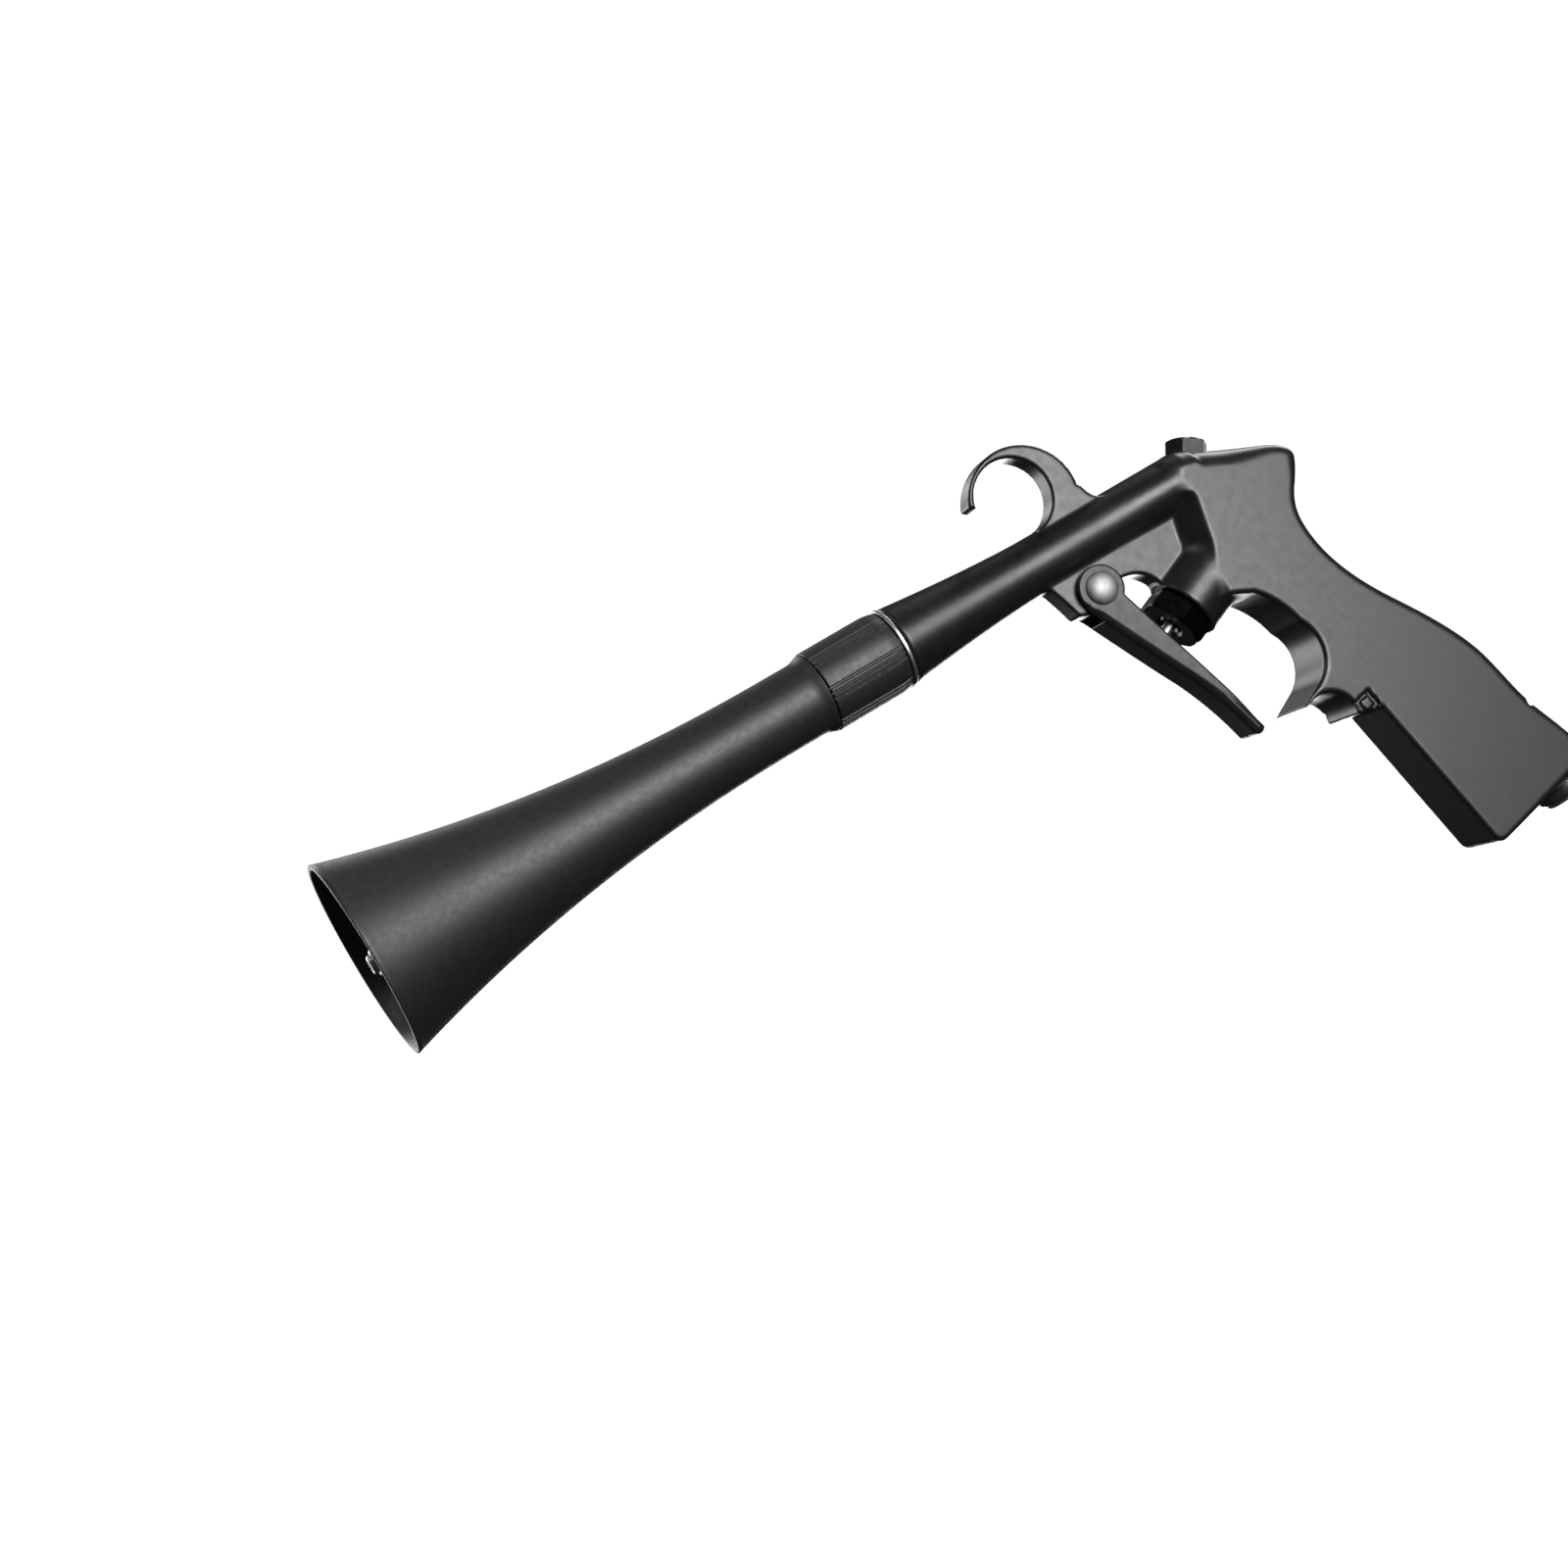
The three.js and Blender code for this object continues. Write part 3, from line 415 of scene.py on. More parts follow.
def noise(made, scale, detail, stretch=(1, 1, 1)):
    """Noise over the object's own space; scale is features per metre."""
    nodes, links = made.node_tree.nodes, made.node_tree.links
    where = nodes.new("ShaderNodeTexCoord")
    mapping = nodes.new("ShaderNodeMapping")
    mapping.inputs["Scale"].default_value = stretch
    texture = nodes.new("ShaderNodeTexNoise")
    texture.inputs["Scale"].default_value = scale
    texture.inputs["Detail"].default_value = detail
    links.new(where.outputs["Object"], mapping.inputs["Vector"])
    links.new(mapping.outputs["Vector"], texture.inputs["Vector"])
    return texture.outputs["Fac"]


def ranged(made, value, low, high):
    """The noise's middle range stretched to low..high."""
    node = made.node_tree.nodes.new("ShaderNodeMapRange")
    node.inputs["From Min"].default_value = 0.5 - NOISE_SPREAD
    node.inputs["From Max"].default_value = 0.5 + NOISE_SPREAD
    node.inputs["To Min"].default_value = low
    node.inputs["To Max"].default_value = high
    made.node_tree.links.new(value, node.inputs["Value"])
    return node.outputs["Result"]


def vary_roughness(made, value, low, high):
    """Roughness between two values."""
    shader = made.node_tree.nodes["Principled BSDF"]
    made.node_tree.links.new(ranged(made, value, low, high), shader.inputs["Roughness"])


def vary_color(made, value, dark, light):
    """Base colour between two tones; returns the node that mixes them."""
    nodes, links = made.node_tree.nodes, made.node_tree.links
    mix = nodes.new("ShaderNodeMix")
    mix.data_type = "RGBA"
    mix.inputs["A"].default_value = (*dark, 1)
    mix.inputs["B"].default_value = (*light, 1)
    links.new(ranged(made, value, 0.0, 1.0), mix.inputs["Factor"])
    links.new(mix.outputs["Result"], nodes["Principled BSDF"].inputs["Base Color"])
    return mix


def bump(made, values):
    """Bump from several (noise, height in metres) pairs, one on top of the other."""
    nodes, links = made.node_tree.nodes, made.node_tree.links
    last = None
    for value, height in values:
        node = nodes.new("ShaderNodeBump")
        node.inputs["Strength"].default_value = 1.0
        node.inputs["Distance"].default_value = height
        links.new(value, node.inputs["Height"])
        if last is not None:
            links.new(last.outputs["Normal"], node.inputs["Normal"])
        last = node
    links.new(last.outputs["Normal"], nodes["Principled BSDF"].inputs["Normal"])


# pointiness range over which the painted edge highlight fades in
EDGE_HIGHLIGHT_STARTS, EDGE_HIGHLIGHT_FULL = 0.56, 0.66         # pointiness; a flat face has 0.5


def painted_edge_highlight(made, mix, edge_highlight_tone):
    """Painted highlight: a lighter tone on the sharpest outer edges, broken up by noise."""
    nodes, links = made.node_tree.nodes, made.node_tree.links
    geometry = nodes.new("ShaderNodeNewGeometry")
    edge = nodes.new("ShaderNodeMapRange")
    edge.inputs["From Min"].default_value = EDGE_HIGHLIGHT_STARTS
    edge.inputs["From Max"].default_value = EDGE_HIGHLIGHT_FULL
    links.new(geometry.outputs["Pointiness"], edge.inputs["Value"])
    broken = nodes.new("ShaderNodeMath")
    broken.operation = "MULTIPLY"
    links.new(edge.outputs["Result"], broken.inputs[0])
    links.new(ranged(made, noise(made, 900, 4), 0.0, 0.5), broken.inputs[1])
    over = nodes.new("ShaderNodeMix")
    over.data_type = "RGBA"
    over.inputs["B"].default_value = (*edge_highlight_tone, 1)
    links.new(mix.outputs["Result"], over.inputs["A"])
    links.new(broken.outputs[0], over.inputs["Factor"])
    links.new(over.outputs["Result"], nodes["Principled BSDF"].inputs["Base Color"])


def cast_paint():
    """Black satin enamel on a die casting: faint orange peel over a slightly uneven casting."""
    made = material("body_paint", (0.006, 0.006, 0.0062), 0.36, specular=0.5)
    mix = vary_color(made, noise(made, 260, 4), (0.005, 0.005, 0.0052), (0.0075, 0.0075, 0.0078))
    # painted highlight: lighter tone along the sharpest outer edges
    painted_edge_highlight(made, mix, (0.03, 0.03, 0.031))
    vary_roughness(made, noise(made, 420, 5), 0.33, 0.40)
    bump(made, [(noise(made, 90, 2), 0.000012), (noise(made, 1400, 3), 0.00001)])
    return made


def moulded_plastic():
    """Matt black moulded plastic with a fine spark-eroded grain."""
    made = material("horn_plastic", (0.008, 0.008, 0.0082), 0.5, specular=0.6)
    vary_color(made, noise(made, 500, 4), (0.0068, 0.0068, 0.007), (0.0095, 0.0095, 0.0098))
    vary_roughness(made, noise(made, 700, 4), 0.46, 0.54)
    bump(made, [(noise(made, 120, 2), 0.00003), (noise(made, 2600, 3), 0.00002)])
    return made


def trigger_enamel():
    """Satin grey-black enamel on pressed steel."""
    made = material("trigger_paint", (0.009, 0.009, 0.0093), 0.4, specular=0.4)
    mix = vary_color(made, noise(made, 300, 4), (0.0075, 0.0075, 0.0078), (0.011, 0.011, 0.0115))
    # painted highlight: lighter tone along the sharpest outer edges
    painted_edge_highlight(made, mix, (0.04, 0.04, 0.041))
    vary_roughness(made, noise(made, 500, 5), 0.37, 0.44)
    bump(made, [(noise(made, 1500, 3), 0.000015)])
    return made


def metal(name, dark, light, low, high, grain=(1, 1, 1)):
    """Bare or plated metal between two tones, with fine machining grain that may be stretched one way."""
    made = material(name, light, (low + high) / 2, metallic=1.0)
    vary_color(made, noise(made, 350, 4), dark, light)
    vary_roughness(made, noise(made, 900, 4, stretch=grain), low, high)
    bump(made, [(noise(made, 1500, 3, stretch=grain), 0.000008)])
    return made


def rubber():
    """Dull black rubber of the seals."""
    made = material("seal_rubber", (0.012, 0.012, 0.012), 0.75)
    vary_color(made, noise(made, 600, 3), (0.009, 0.009, 0.009), (0.016, 0.016, 0.016))
    vary_roughness(made, noise(made, 800, 3), 0.65, 0.8)
    bump(made, [(noise(made, 2500, 2), 0.00002)])
    return made


def black_moulding():
    """Glossier black plastic of the inlet's collar."""
    made = material("black_plastic", (0.012, 0.012, 0.0125), 0.35, specular=0.5)
    vary_color(made, noise(made, 500, 3), (0.01, 0.01, 0.0105), (0.014, 0.014, 0.0145))
    vary_roughness(made, noise(made, 600, 3), 0.3, 0.4)
    bump(made, [(noise(made, 1800, 2), 0.00001)])
    return made


AROUND = (6, 1, 1)                          # grain of pieces that are turned about X
SATIN_CHROME = metal("satin_chrome", (0.34, 0.34, 0.35), (0.42, 0.42, 0.43), 0.56, 0.64)
ALUMINIUM = metal("turned_aluminium", (0.55, 0.55, 0.56), (0.66, 0.66, 0.67), 0.28, 0.4, AROUND)
FINISHES = {
    "body_paint": cast_paint(),
    "horn_plastic": moulded_plastic(),
    "trigger_paint": trigger_enamel(),
    "bright_steel": metal("bright_steel", (0.5, 0.5, 0.51), (0.6, 0.6, 0.61), 0.36, 0.44, AROUND),
    "dark_steel": metal("dark_steel", (0.016, 0.016, 0.017), (0.026, 0.026, 0.0275), 0.26, 0.36),
    "turned_aluminium": ALUMINIUM,
    "nickel_fitting": metal("nickel_fitting", (0.42, 0.42, 0.43), (0.54, 0.54, 0.55), 0.2, 0.34),
    "brass": metal("brass", (0.3, 0.24, 0.13), (0.4, 0.32, 0.18), 0.3, 0.42, AROUND),
    "seal_rubber": rubber(),
    "black_plastic": black_moulding(),
}


# ---------------------------------------------------------------- body casting

CAST_STEP = 0.5
CAST_ROOM = 1.5                             # between the casting and the sides of its grid
FLUSH_FROM = -30.0                          # behind here nothing stands out from the grip's side faces
TAB_PLACE = (11.9, -74.6)
TAB_HALF = (2.6, 2.4)
TAB_DEPTH = 1.2
TAB_ISLAND_HALF = 1.5
HEEL_NOTCH_R = 1.2
PASSAGE_R = 3.2
PASSAGE_FROM_INLET = 8.0
PASSAGE_ON_VALVE_AXIS = 21.0
PLUG_DRILLING_R = 2.5
PLUG_DRILLING_DEPTH = 31.0


def hook_outline():
    """The hook's root in the web and its crescent: the back arc, then the eye's arc the other way."""
    root = (HOOK_EYE[0] + 2, 2)
    drawn = Outline(*root).line(-18, 2).line(-18, 5.5).quad(-22.6, 7.6, -23.2, 11.4)
    drawn.arc(*HOOK_BACK, math.degrees(-0.18), 157)
    return drawn.arc(*HOOK_EYE, 168, math.degrees(0.15) - 90)


def on_wall(z):
    """Place at a height on the block's front wall, where it meets the web."""
    return WALL_FOOT[0] + (z - WALL_FOOT[1]) * math.tan(WALL_TILT), z


def web_outline():
    """The plate under the barrel, with the trigger's lug and the arch behind it."""
    drawn = Outline(-47.4, -3).quad(-43.8, -11, -42.3, -17.2)
    drawn.quad(-41.2, -17.6, PIVOT[0] - 3.6, PIVOT[1] - 5.1)
    drawn.arc(*PIVOT, LUG_R, math.degrees(-2.2), math.degrees(-0.6))
    drawn.quad(-28.2, -14.3, -26.4, -14.3)
    boss_top = (BOSS_FRONT[0] - 9.7 * math.sin(BOSS_TILT) + 0.5, BOSS_FRONT[1] + 9.7 * math.cos(BOSS_TILT))
    drawn.quad(boss_top[0] - 2.2, -14.6, *boss_top)
    return drawn.line(BOSS_FRONT[0] + 3, BOSS_FRONT[1]).line(-2, -27).line(2, -3)


def grip_outline():
    """Block and grip from the front wall over the top, down the back strap, along the bottom and up."""
    corner = 2.4
    drawn = Outline(*on_wall(6.4)).line(2.6, 7).line(25.2, -3.2).quad(31.2, -6.1, 30.8, -9.6)
    drawn.cubic(28.6, -15.6, 22.9, -17.6, 22.9, -26).cubic(22.9, -37, 28.6, -47, 34.7, -55.6)
    drawn.cubic(39.2, -62, 46, -72, 48.4, -80.4)
    hx, hz = HEEL
    drawn.cubic(50, -86, hx - 9.4, hz + 26.5, hx - 8.2, hz + 22.6)
    drawn.cubic(hx - 6.2, hz + 16, hx - 2.6, hz + 9.5, hx - 0.6, hz + 2.4)
    drawn.quad(hx, hz, hx - corner, hz - corner * math.sin(GRIP_TILT))
    drawn.line(TOE[0] + corner, TOE[1] + corner * math.sin(GRIP_TILT))
    drawn.quad(*TOE, TOE[0] - 0.4 * corner, TOE[1] + corner).line(14.9, -77.4)
    drawn.arc(1.2, -73.8, 7.4, -16, 114).line(-4.3, -67.4).quad(-5, -67.5, -4.4, -67.2)
    drawn.arc(-1.9, -53.6, 11.1, -68, 34).quad(5.6, -40, 0.6, -35).line(-8, -31)
    return drawn.line(*on_wall(-19.5))


def barrel_field(f):
    """Round tube, wider at its rounded front edge and, sideways only, where it runs into the block."""
    run = f.x + BARREL_LENGTH
    widening = 1 + (GRIP_HALF / BARREL_R - 1) * smooth_step(*SHOULDER, f.x)
    off = np.sqrt((f.y / widening) ** 2 + f.z * f.z)
    share = np.clip(1 - run / FLARE_LENGTH, 0, 1)
    radius = BARREL_R + (BARREL_FRONT_R - BARREL_R) * share**FLARE_POWER
    slope = (BARREL_FRONT_R - BARREL_R) * FLARE_POWER * np.sqrt(share) / FLARE_LENGTH
    side = (off - radius) / np.sqrt(1 + slope * slope)
    return rounded_max(side, np.maximum(-run, run - BARREL_LENGTH - 6), 0.9)


def grip_field(f):
    """Block and grip: most rounded along the top, more at the back than at the front.

    The block's front wall slopes from the plate out to its side faces, up to the barrel.
    """
    back = smooth_step(-4, 8, (f.x - 7) * math.cos(0.33) + (f.z + 30) * math.sin(0.33))
    low = smooth_step(-96, -106, f.z)
    top = smooth_step(-10, -2, f.z + 0.45 * f.x - 6) * smooth_step(35, 12, f.x)
    nose = smooth_step(14, -2, f.x) * smooth_step(-9, -3, f.z)
    edge = 1.1 + 0.8 * back * (1 - 0.5 * low) + 4.2 * np.maximum(top, nose)
    solid = extruded(f.plan(grip_outline()), f.y, GRIP_HALF, edge)
    behind = (f.x - WALL_FOOT[0]) * math.cos(WALL_TILT) - (f.z - WALL_FOOT[1]) * math.sin(WALL_TILT)
    lean = WALL_RUN / (GRIP_HALF - PLATE_HALF)
    wall = (lean * (f.y - PLATE_HALF) - behind) / math.hypot(1, lean) - 9 * smooth_step(-6, 4, f.z)
    return rounded_max(solid, wall, 0.35)


def tab_recess(f):
    """Small square recess with a low island, in each side face behind the lower finger scallop."""
    dx, dz = f.x - TAB_PLACE[0], f.z - TAB_PLACE[1]
    run = dx * math.cos(GRIP_TILT) + dz * math.sin(GRIP_TILT)
    rise = -dx * math.sin(GRIP_TILT) + dz * math.cos(GRIP_TILT)
    outside = np.maximum(np.abs(run) - TAB_HALF[0], np.abs(rise) - TAB_HALF[1])
    island = np.maximum(np.abs(run), np.abs(rise)) - TAB_ISLAND_HALF
    groove = np.maximum(outside, GRIP_HALF - TAB_DEPTH - f.y)
    return np.maximum(groove, -np.maximum(island, f.y - GRIP_HALF + 0.35))


def body_field(f):
    """The whole casting: its parts blended together, less its bores, seats and recesses."""
    boss = f.rod(BOSS_FRONT, BOSS_TILT, 0, BOSS_LENGTH, BOSS_R, 0.6)
    pad = f.rod(PLUG_SEAT, PLUG_TILT, -6, 0, PAD_R, 0.5)
    web = extruded(f.plan(web_outline()), f.y, PLATE_HALF, 0.5)
    hook = extruded(f.plan(hook_outline()), f.y, PLATE_HALF, 0.55)
    solid = blended_min(barrel_field(f), hook, 0.8)
    solid = blended_min(solid, web, 0.9)
    solid = blended_min(solid, blended_min(grip_field(f), boss, 1.8), 1.0)
    flush = np.where(f.x > FLUSH_FROM, f.y - GRIP_HALF, -1.0)
    solid = np.maximum(blended_min(solid, pad, 0.8), flush)
    passage_start = (
        INLET[0] - PASSAGE_FROM_INLET * math.sin(GRIP_TILT),
        INLET[1] + PASSAGE_FROM_INLET * math.cos(GRIP_TILT),
    )
    passage_end = (
        BOSS_FRONT[0] + PASSAGE_ON_VALVE_AXIS * math.cos(BOSS_TILT),
        BOSS_FRONT[1] + PASSAGE_ON_VALVE_AXIS * math.sin(BOSS_TILT),
    )
    reach = math.dist(passage_start, passage_end)
    passage_tilt = math.atan2(passage_end[1] - passage_start[1], passage_end[0] - passage_start[0])
    cuts = [
        f.rod((-BARREL_LENGTH, 0), 0, -2, SOCKET_DEPTH, SOCKET_R),
        f.rod((-BARREL_LENGTH, 0), 0, -2, BARREL_LENGTH + 5, AIR_BORE_R),
        f.rod(BOSS_FRONT, BOSS_TILT, -2, CHAMBER_DEPTH, CHAMBER_R),
        f.rod(PLUG_SEAT, PLUG_TILT, 0, 8, PAD_R - 0.2),
        f.rod(PLUG_SEAT, PLUG_TILT, -PLUG_HOLE_DEPTH, 2, PLUG_HOLE_R),
        f.rod(PLUG_SEAT, PLUG_TILT, -PLUG_DRILLING_DEPTH, -5.5, PLUG_DRILLING_R),
        f.cross_rod(PIVOT, PIN_R + 0.15),
        f.rod(INLET, INLET_TILT, -INLET_POCKET_DEPTH, 2, INLET_POCKET_R),
        f.rod(passage_start, passage_tilt, 0, reach, PASSAGE_R),
        f.cross_rod((HEEL[0] - 7.4, HEEL[1] + 20.2), HEEL_NOTCH_R),
        tab_recess(f),
    ]
    for cut in cuts:
        solid = np.maximum(solid, -cut)
    return solid


def make_body():
    low = (-BARREL_LENGTH - CAST_ROOM, TOE[1] - CAST_ROOM)
    high = (HEEL[0] + CAST_ROOM, HOOK_BACK[1] + HOOK_BACK[2] + CAST_ROOM)
    field = Field(low, high, BARREL_FRONT_R + CAST_ROOM, CAST_STEP)
    points, quads = field.mesh(body_field(field))
    piece("body_casting", points, outward(points, quads), "gun", ["gun_body"], "body_paint")


make_body()


# ---------------------------------------------------------------- horn, collar and ring


def horn_radius(distance):
    """Outer radius of the flare at a distance behind the mouth."""
    share = np.clip(1 - distance / (HORN_REAR - MOUTH_X - HORN_STRAIGHT), 0, 1)
    return HORN_END_R + (HORN_MOUTH_R - HORN_END_R) * share**HORN_POWER


def make_horn():
    """Flared shell with a rounded lip, a coned flange at its rear and a neck inside the collar."""
    flare = HORN_REAR - MOUTH_X - HORN_STRAIGHT
    steps, lip_steps, lip_round = 64, 8, 0.35
    reach = [flare * (i / steps) ** 1.1 for i in range(1, steps + 1)]
    outside = [(MOUTH_X + d, float(horn_radius(d))) for d in reach]
    inside = [(MOUTH_X + d, float(horn_radius(d)) - HORN_WALL) for d in reach]
    lip = []
    half = HORN_WALL / 2
    for i in range(lip_steps + 1):
        angle = math.pi * i / lip_steps
        lip.append((
            MOUTH_X + lip_round * (1 - math.sin(angle)),
            HORN_MOUTH_R - half - half * math.cos(angle) * 0.98,
        ))
    cone = HORN_REAR - HORN_FLANGE_LENGTH
    neck_end = HORN_REAR + NECK_LENGTH
    rear = rounded_corner((HORN_REAR - 6, HORN_END_R), (cone, HORN_END_R), (HORN_REAR, HORN_FLANGE_R), 1.2)
    rear += rounded_corner((cone, HORN_END_R), (HORN_REAR, HORN_FLANGE_R), (HORN_REAR, NECK_R), 0.3)
    rear += [(HORN_REAR, NECK_R), (neck_end, NECK_R), (neck_end, NECK_R - NECK_WALL)]
    profile = lip + outside + rear + inside[::-1]
    profile = [(barrel_place(x), r) for x, r in profile]
    points, faces = sweep(profile, 192)
    piece("horn_shell", points, faces, "gun", ["horn"], "horn_plastic", sharp=50)


def groove_depth(angle):
    """Depth of the collar's grooves at an angle; 0 degrees points to the photographed side, 90 up."""
    degrees = np.degrees(angle)
    depth = np.zeros_like(degrees)
    group_angle = 360 / GROOVE_GROUPS
    span = GROOVE_PITCH * (GROOVES_PER_GROUP - 1)
    for group in range(GROOVE_GROUPS):
        for groove in range(GROOVES_PER_GROUP):
            middle = GROOVE_TURN + group * group_angle - span / 2 + groove * GROOVE_PITCH
            apart = np.abs((degrees - (270 - middle) + 180) % 360 - 180)
            depth = np.maximum(depth, 1 - smooth_step(0.2 * GROOVE_WIDTH, 0.5 * GROOVE_WIDTH, apart))
    return GROOVE_DEPTH * depth


def make_collar():
    """Collar with axial grooves in groups and a chamfer at its rear."""
    front, rear = collar_low[0], collar_high[0]

    def grooved(angle, along, radius):
        floor = COLLAR_R - groove_depth(angle)
        return np.where(radius > COLLAR_BORE + 0.2, np.minimum(radius, floor), radius)

    corners = [
        (front, COLLAR_BORE),
        (front, COLLAR_R),
        (rear - REAR_CHAMFER[0], COLLAR_R),
        (rear, COLLAR_R - REAR_CHAMFER[1]),
        (rear, COLLAR_BORE),
    ]
    profile = eased([(barrel_place(x), r) for x, r in corners], [0.2, 0.45, 1.0, 0.3, 0.2])
    points, faces = sweep(profile, 1080, shape=grooved)
    piece("collar_shell", points, faces, "gun", ["horn_collar"], "horn_plastic", sharp=60)


def make_ring():
    """Thin bright ring between collar and barrel."""
    front, rear = ring_low[0], ring_high[0]
    radius = (ring_high[2] - ring_low[2]) / 2
    corners = [(front, SOCKET_R), (front, radius), (rear, radius), (rear, SOCKET_R)]
    profile = eased([(barrel_place(x), r) for x, r in corners], [0.1, 0.3, 0.3, 0.1])
    points, faces = sweep(profile, 192)
    piece("bright_ring", points, faces, "gun", ["seat_ring"], "bright_steel", sharp=50)


make_horn()
make_collar()
make_ring()


# ---------------------------------------------------------------- spinning nozzle

NOZZLE_R = 2.42
NOZZLE_BORE = 1.5
NOZZLE_SHOULDER_R = NOZZLE_R + 0.8
NOZZLE_SHOULDER_PLACE = 9.2                 # behind the collar's front
NOZZLE_SHOULDER_LENGTH = 1.2
TIP_OFFSET = 2.2
TIP_STRAIGHT = 12.2
BEND_LENGTH = 34.0
BEND_STEPS = 24
SLEEVE_BORE = 2.6
SLEEVE_R = 3.42


def make_nozzle():
    """Tube that bends off the axis near the mouth, with a rounded tip and a shoulder behind the bend."""
    low, high = box_mm("spinning_nozzle")
    tip, rear = low[0], high[0]
    bend_end = tip + TIP_STRAIGHT
    bend_start = bend_end + BEND_LENGTH
    shoulder = collar_low[0] + NOZZLE_SHOULDER_PLACE
    shoulder_rear = shoulder + NOZZLE_SHOULDER_LENGTH
    outer = [(rear, NOZZLE_R), (shoulder_rear, NOZZLE_R)]
    outer += [(shoulder_rear, NOZZLE_SHOULDER_R), (shoulder, NOZZLE_SHOULDER_R), (shoulder, NOZZLE_R)]
    outer += [(bend_start - BEND_LENGTH * i / BEND_STEPS, NOZZLE_R) for i in range(BEND_STEPS + 1)]
    tip_round = ((0.5, 0), (0.25, 0.05), (0.1, 0.2), (0, 0.45))
    outer += [(tip + back, NOZZLE_R - less) for back, less in tip_round]
    inner = [(x, NOZZLE_BORE) for x, radius in outer[::-1] if radius != NOZZLE_SHOULDER_R]
    sides = 64
    points = []
    for x, radius in outer + inner:
        drop = TIP_OFFSET * smooth_step(bend_start, bend_end, x)
        for a in 2 * np.pi * np.arange(sides) / sides:
            points.append((x, -radius * math.cos(a), AXIS_Z - drop + radius * math.sin(a)))
    rows = len(outer) + len(inner)
    faces = []
    for i in range(rows):
        n = (i + 1) % rows
        for j in range(sides):
            k = (j + 1) % sides
            faces.append((i * sides + j, i * sides + k, n * sides + k, n * sides + j))
    faces = outward(points, faces)
    piece("nozzle_tube", np.array(points), faces, "rotor", ["spinning_nozzle"], "bright_steel", sharp=50)
    corners = [
        (sleeve_low[0], SLEEVE_BORE),
        (sleeve_low[0], SLEEVE_R),
        (sleeve_high[0], SLEEVE_R),
        (sleeve_high[0], SLEEVE_BORE),
    ]
    profile = eased([(barrel_place(x), r) for x, r in corners], [0.1, 0.5, 0.5, 0.1])
    points, faces = sweep(profile, 64, hub=(0, -TIP_OFFSET))
    piece("nozzle_tip_sleeve", points, faces, "rotor", ["nozzle_tip_weight"], "brass", sharp=50)


make_nozzle()


# ---------------------------------------------------------------- trigger and its pin

PRESSED_STEP = 0.3
FRONT_SHEET = 1.8
TRIGGER_LEAN = 0.47                         # of the front line, in radians


def trigger_outline():
    """The trigger's side plate: front line, rounded end, rear line and the ear round the pin."""
    drawn = Outline(-40.1, -17).quad(-30.5, -36, -25.2, -45.6).quad(-20.4, -55, -17.6, -66)
    drawn.quad(-15.6, -68.2, -14, -66).quad(-17.4, -54, -29.1, -19.2)
    return drawn.arc(*PIVOT, EAR_R, math.degrees(-0.75), math.degrees(math.pi + 0.4))


def channel_outline():
    """The space between the trigger's side plates, behind its front sheet."""
    aside = 1.14 * FRONT_SHEET              # the sheet's thickness along X on its leaning stretch
    drawn = Outline(-46, -5).line(-40.1 + aside, -17)
    drawn.quad(-30.5 + aside, -36, -25.2 + aside, -45.6)
    drawn.quad(-20.4 + FRONT_SHEET, -55, -17.6 + FRONT_SHEET, -64.4)
    return drawn.line(-8, -64.4).line(-10, -5)


def make_trigger():
    """Channel bent from sheet, its front rounded, cut open round the lug and bored for the pin."""
    f = Field((-42.5, -69), (-12, -5), TRIGGER_HALF + 1.2, PRESSED_STEP)
    front_line = (f.x + 40.1) * math.cos(TRIGGER_LEAN) + (f.z + 17) * math.sin(TRIGGER_LEAN)
    bend = 0.35 + 2.1 * (1 - smooth_step(1.2, 3.4, front_line)) * smooth_step(-14, -20, f.z)
    outer = extruded(f.plan(trigger_outline()), f.y, TRIGGER_HALF, bend)
    inner = extruded(f.plan(channel_outline()), f.y, TRIGGER_HALF - TRIGGER_SHEET, 1.2)
    lug_room = np.maximum(f.cross_rod(PIVOT, LUG_R + LUG_SWING_ROOM), f.y - TRIGGER_HALF + TRIGGER_SHEET)
    solid = np.maximum(np.maximum(outer, -inner), -lug_room)
    solid = np.maximum(solid, -f.cross_rod(PIVOT, PIN_R + 0.08))
    points, quads = f.mesh(solid)
    piece("trigger_pressing", points, outward(points, quads), "trigger", ["trigger"], "trigger_paint")


def make_pin():
    """Pin with a low domed head on each side; the far head is a cap."""
    face = TRIGGER_HALF + 0.08
    radius, height, rim, steps = 4.4, 2.3, 0.12, 12
    for name, node, side in (("pin_head", "pivot_pin", 1), ("pin_cap", "pivot_pin_cap", -1)):
        dome = [(face, radius - rim), (face + rim, radius)]
        for i in range(1, steps):
            angle = math.pi / 2 * i / steps
            dome.append((face + rim + (height - rim) * math.sin(angle), radius * math.cos(angle)))
        dome.append((face + height, 0))
        if side > 0:
            profile = [(-face - 1.2, 0), (-face - 1.2, PIN_R - 0.2), (-face - 1, PIN_R), (face, PIN_R)]
            profile += dome
        else:
            profile = [(face + 1.5, 0), (face + 1.5, PIN_R + 0.1), (face, PIN_R + 0.1)]
            profile += dome
        points, faces = sweep(profile, 96)
        local = points - np.array([DATUM_X, 0, AXIS_Z])
        turned = np.stack([local[:, 1], -side * local[:, 0], local[:, 2]], axis=-1)
        turned += np.array([PIVOT[0] + DATUM_X, 0, PIVOT[1] + AXIS_Z])
        made = piece(name, turned, outward(turned, faces), "gun", [node], "bright_steel", sharp=40)
        made.data.materials[0] = SATIN_CHROME


make_trigger()
make_pin()


# ---------------------------------------------------------------- valve: nut, stem and spring


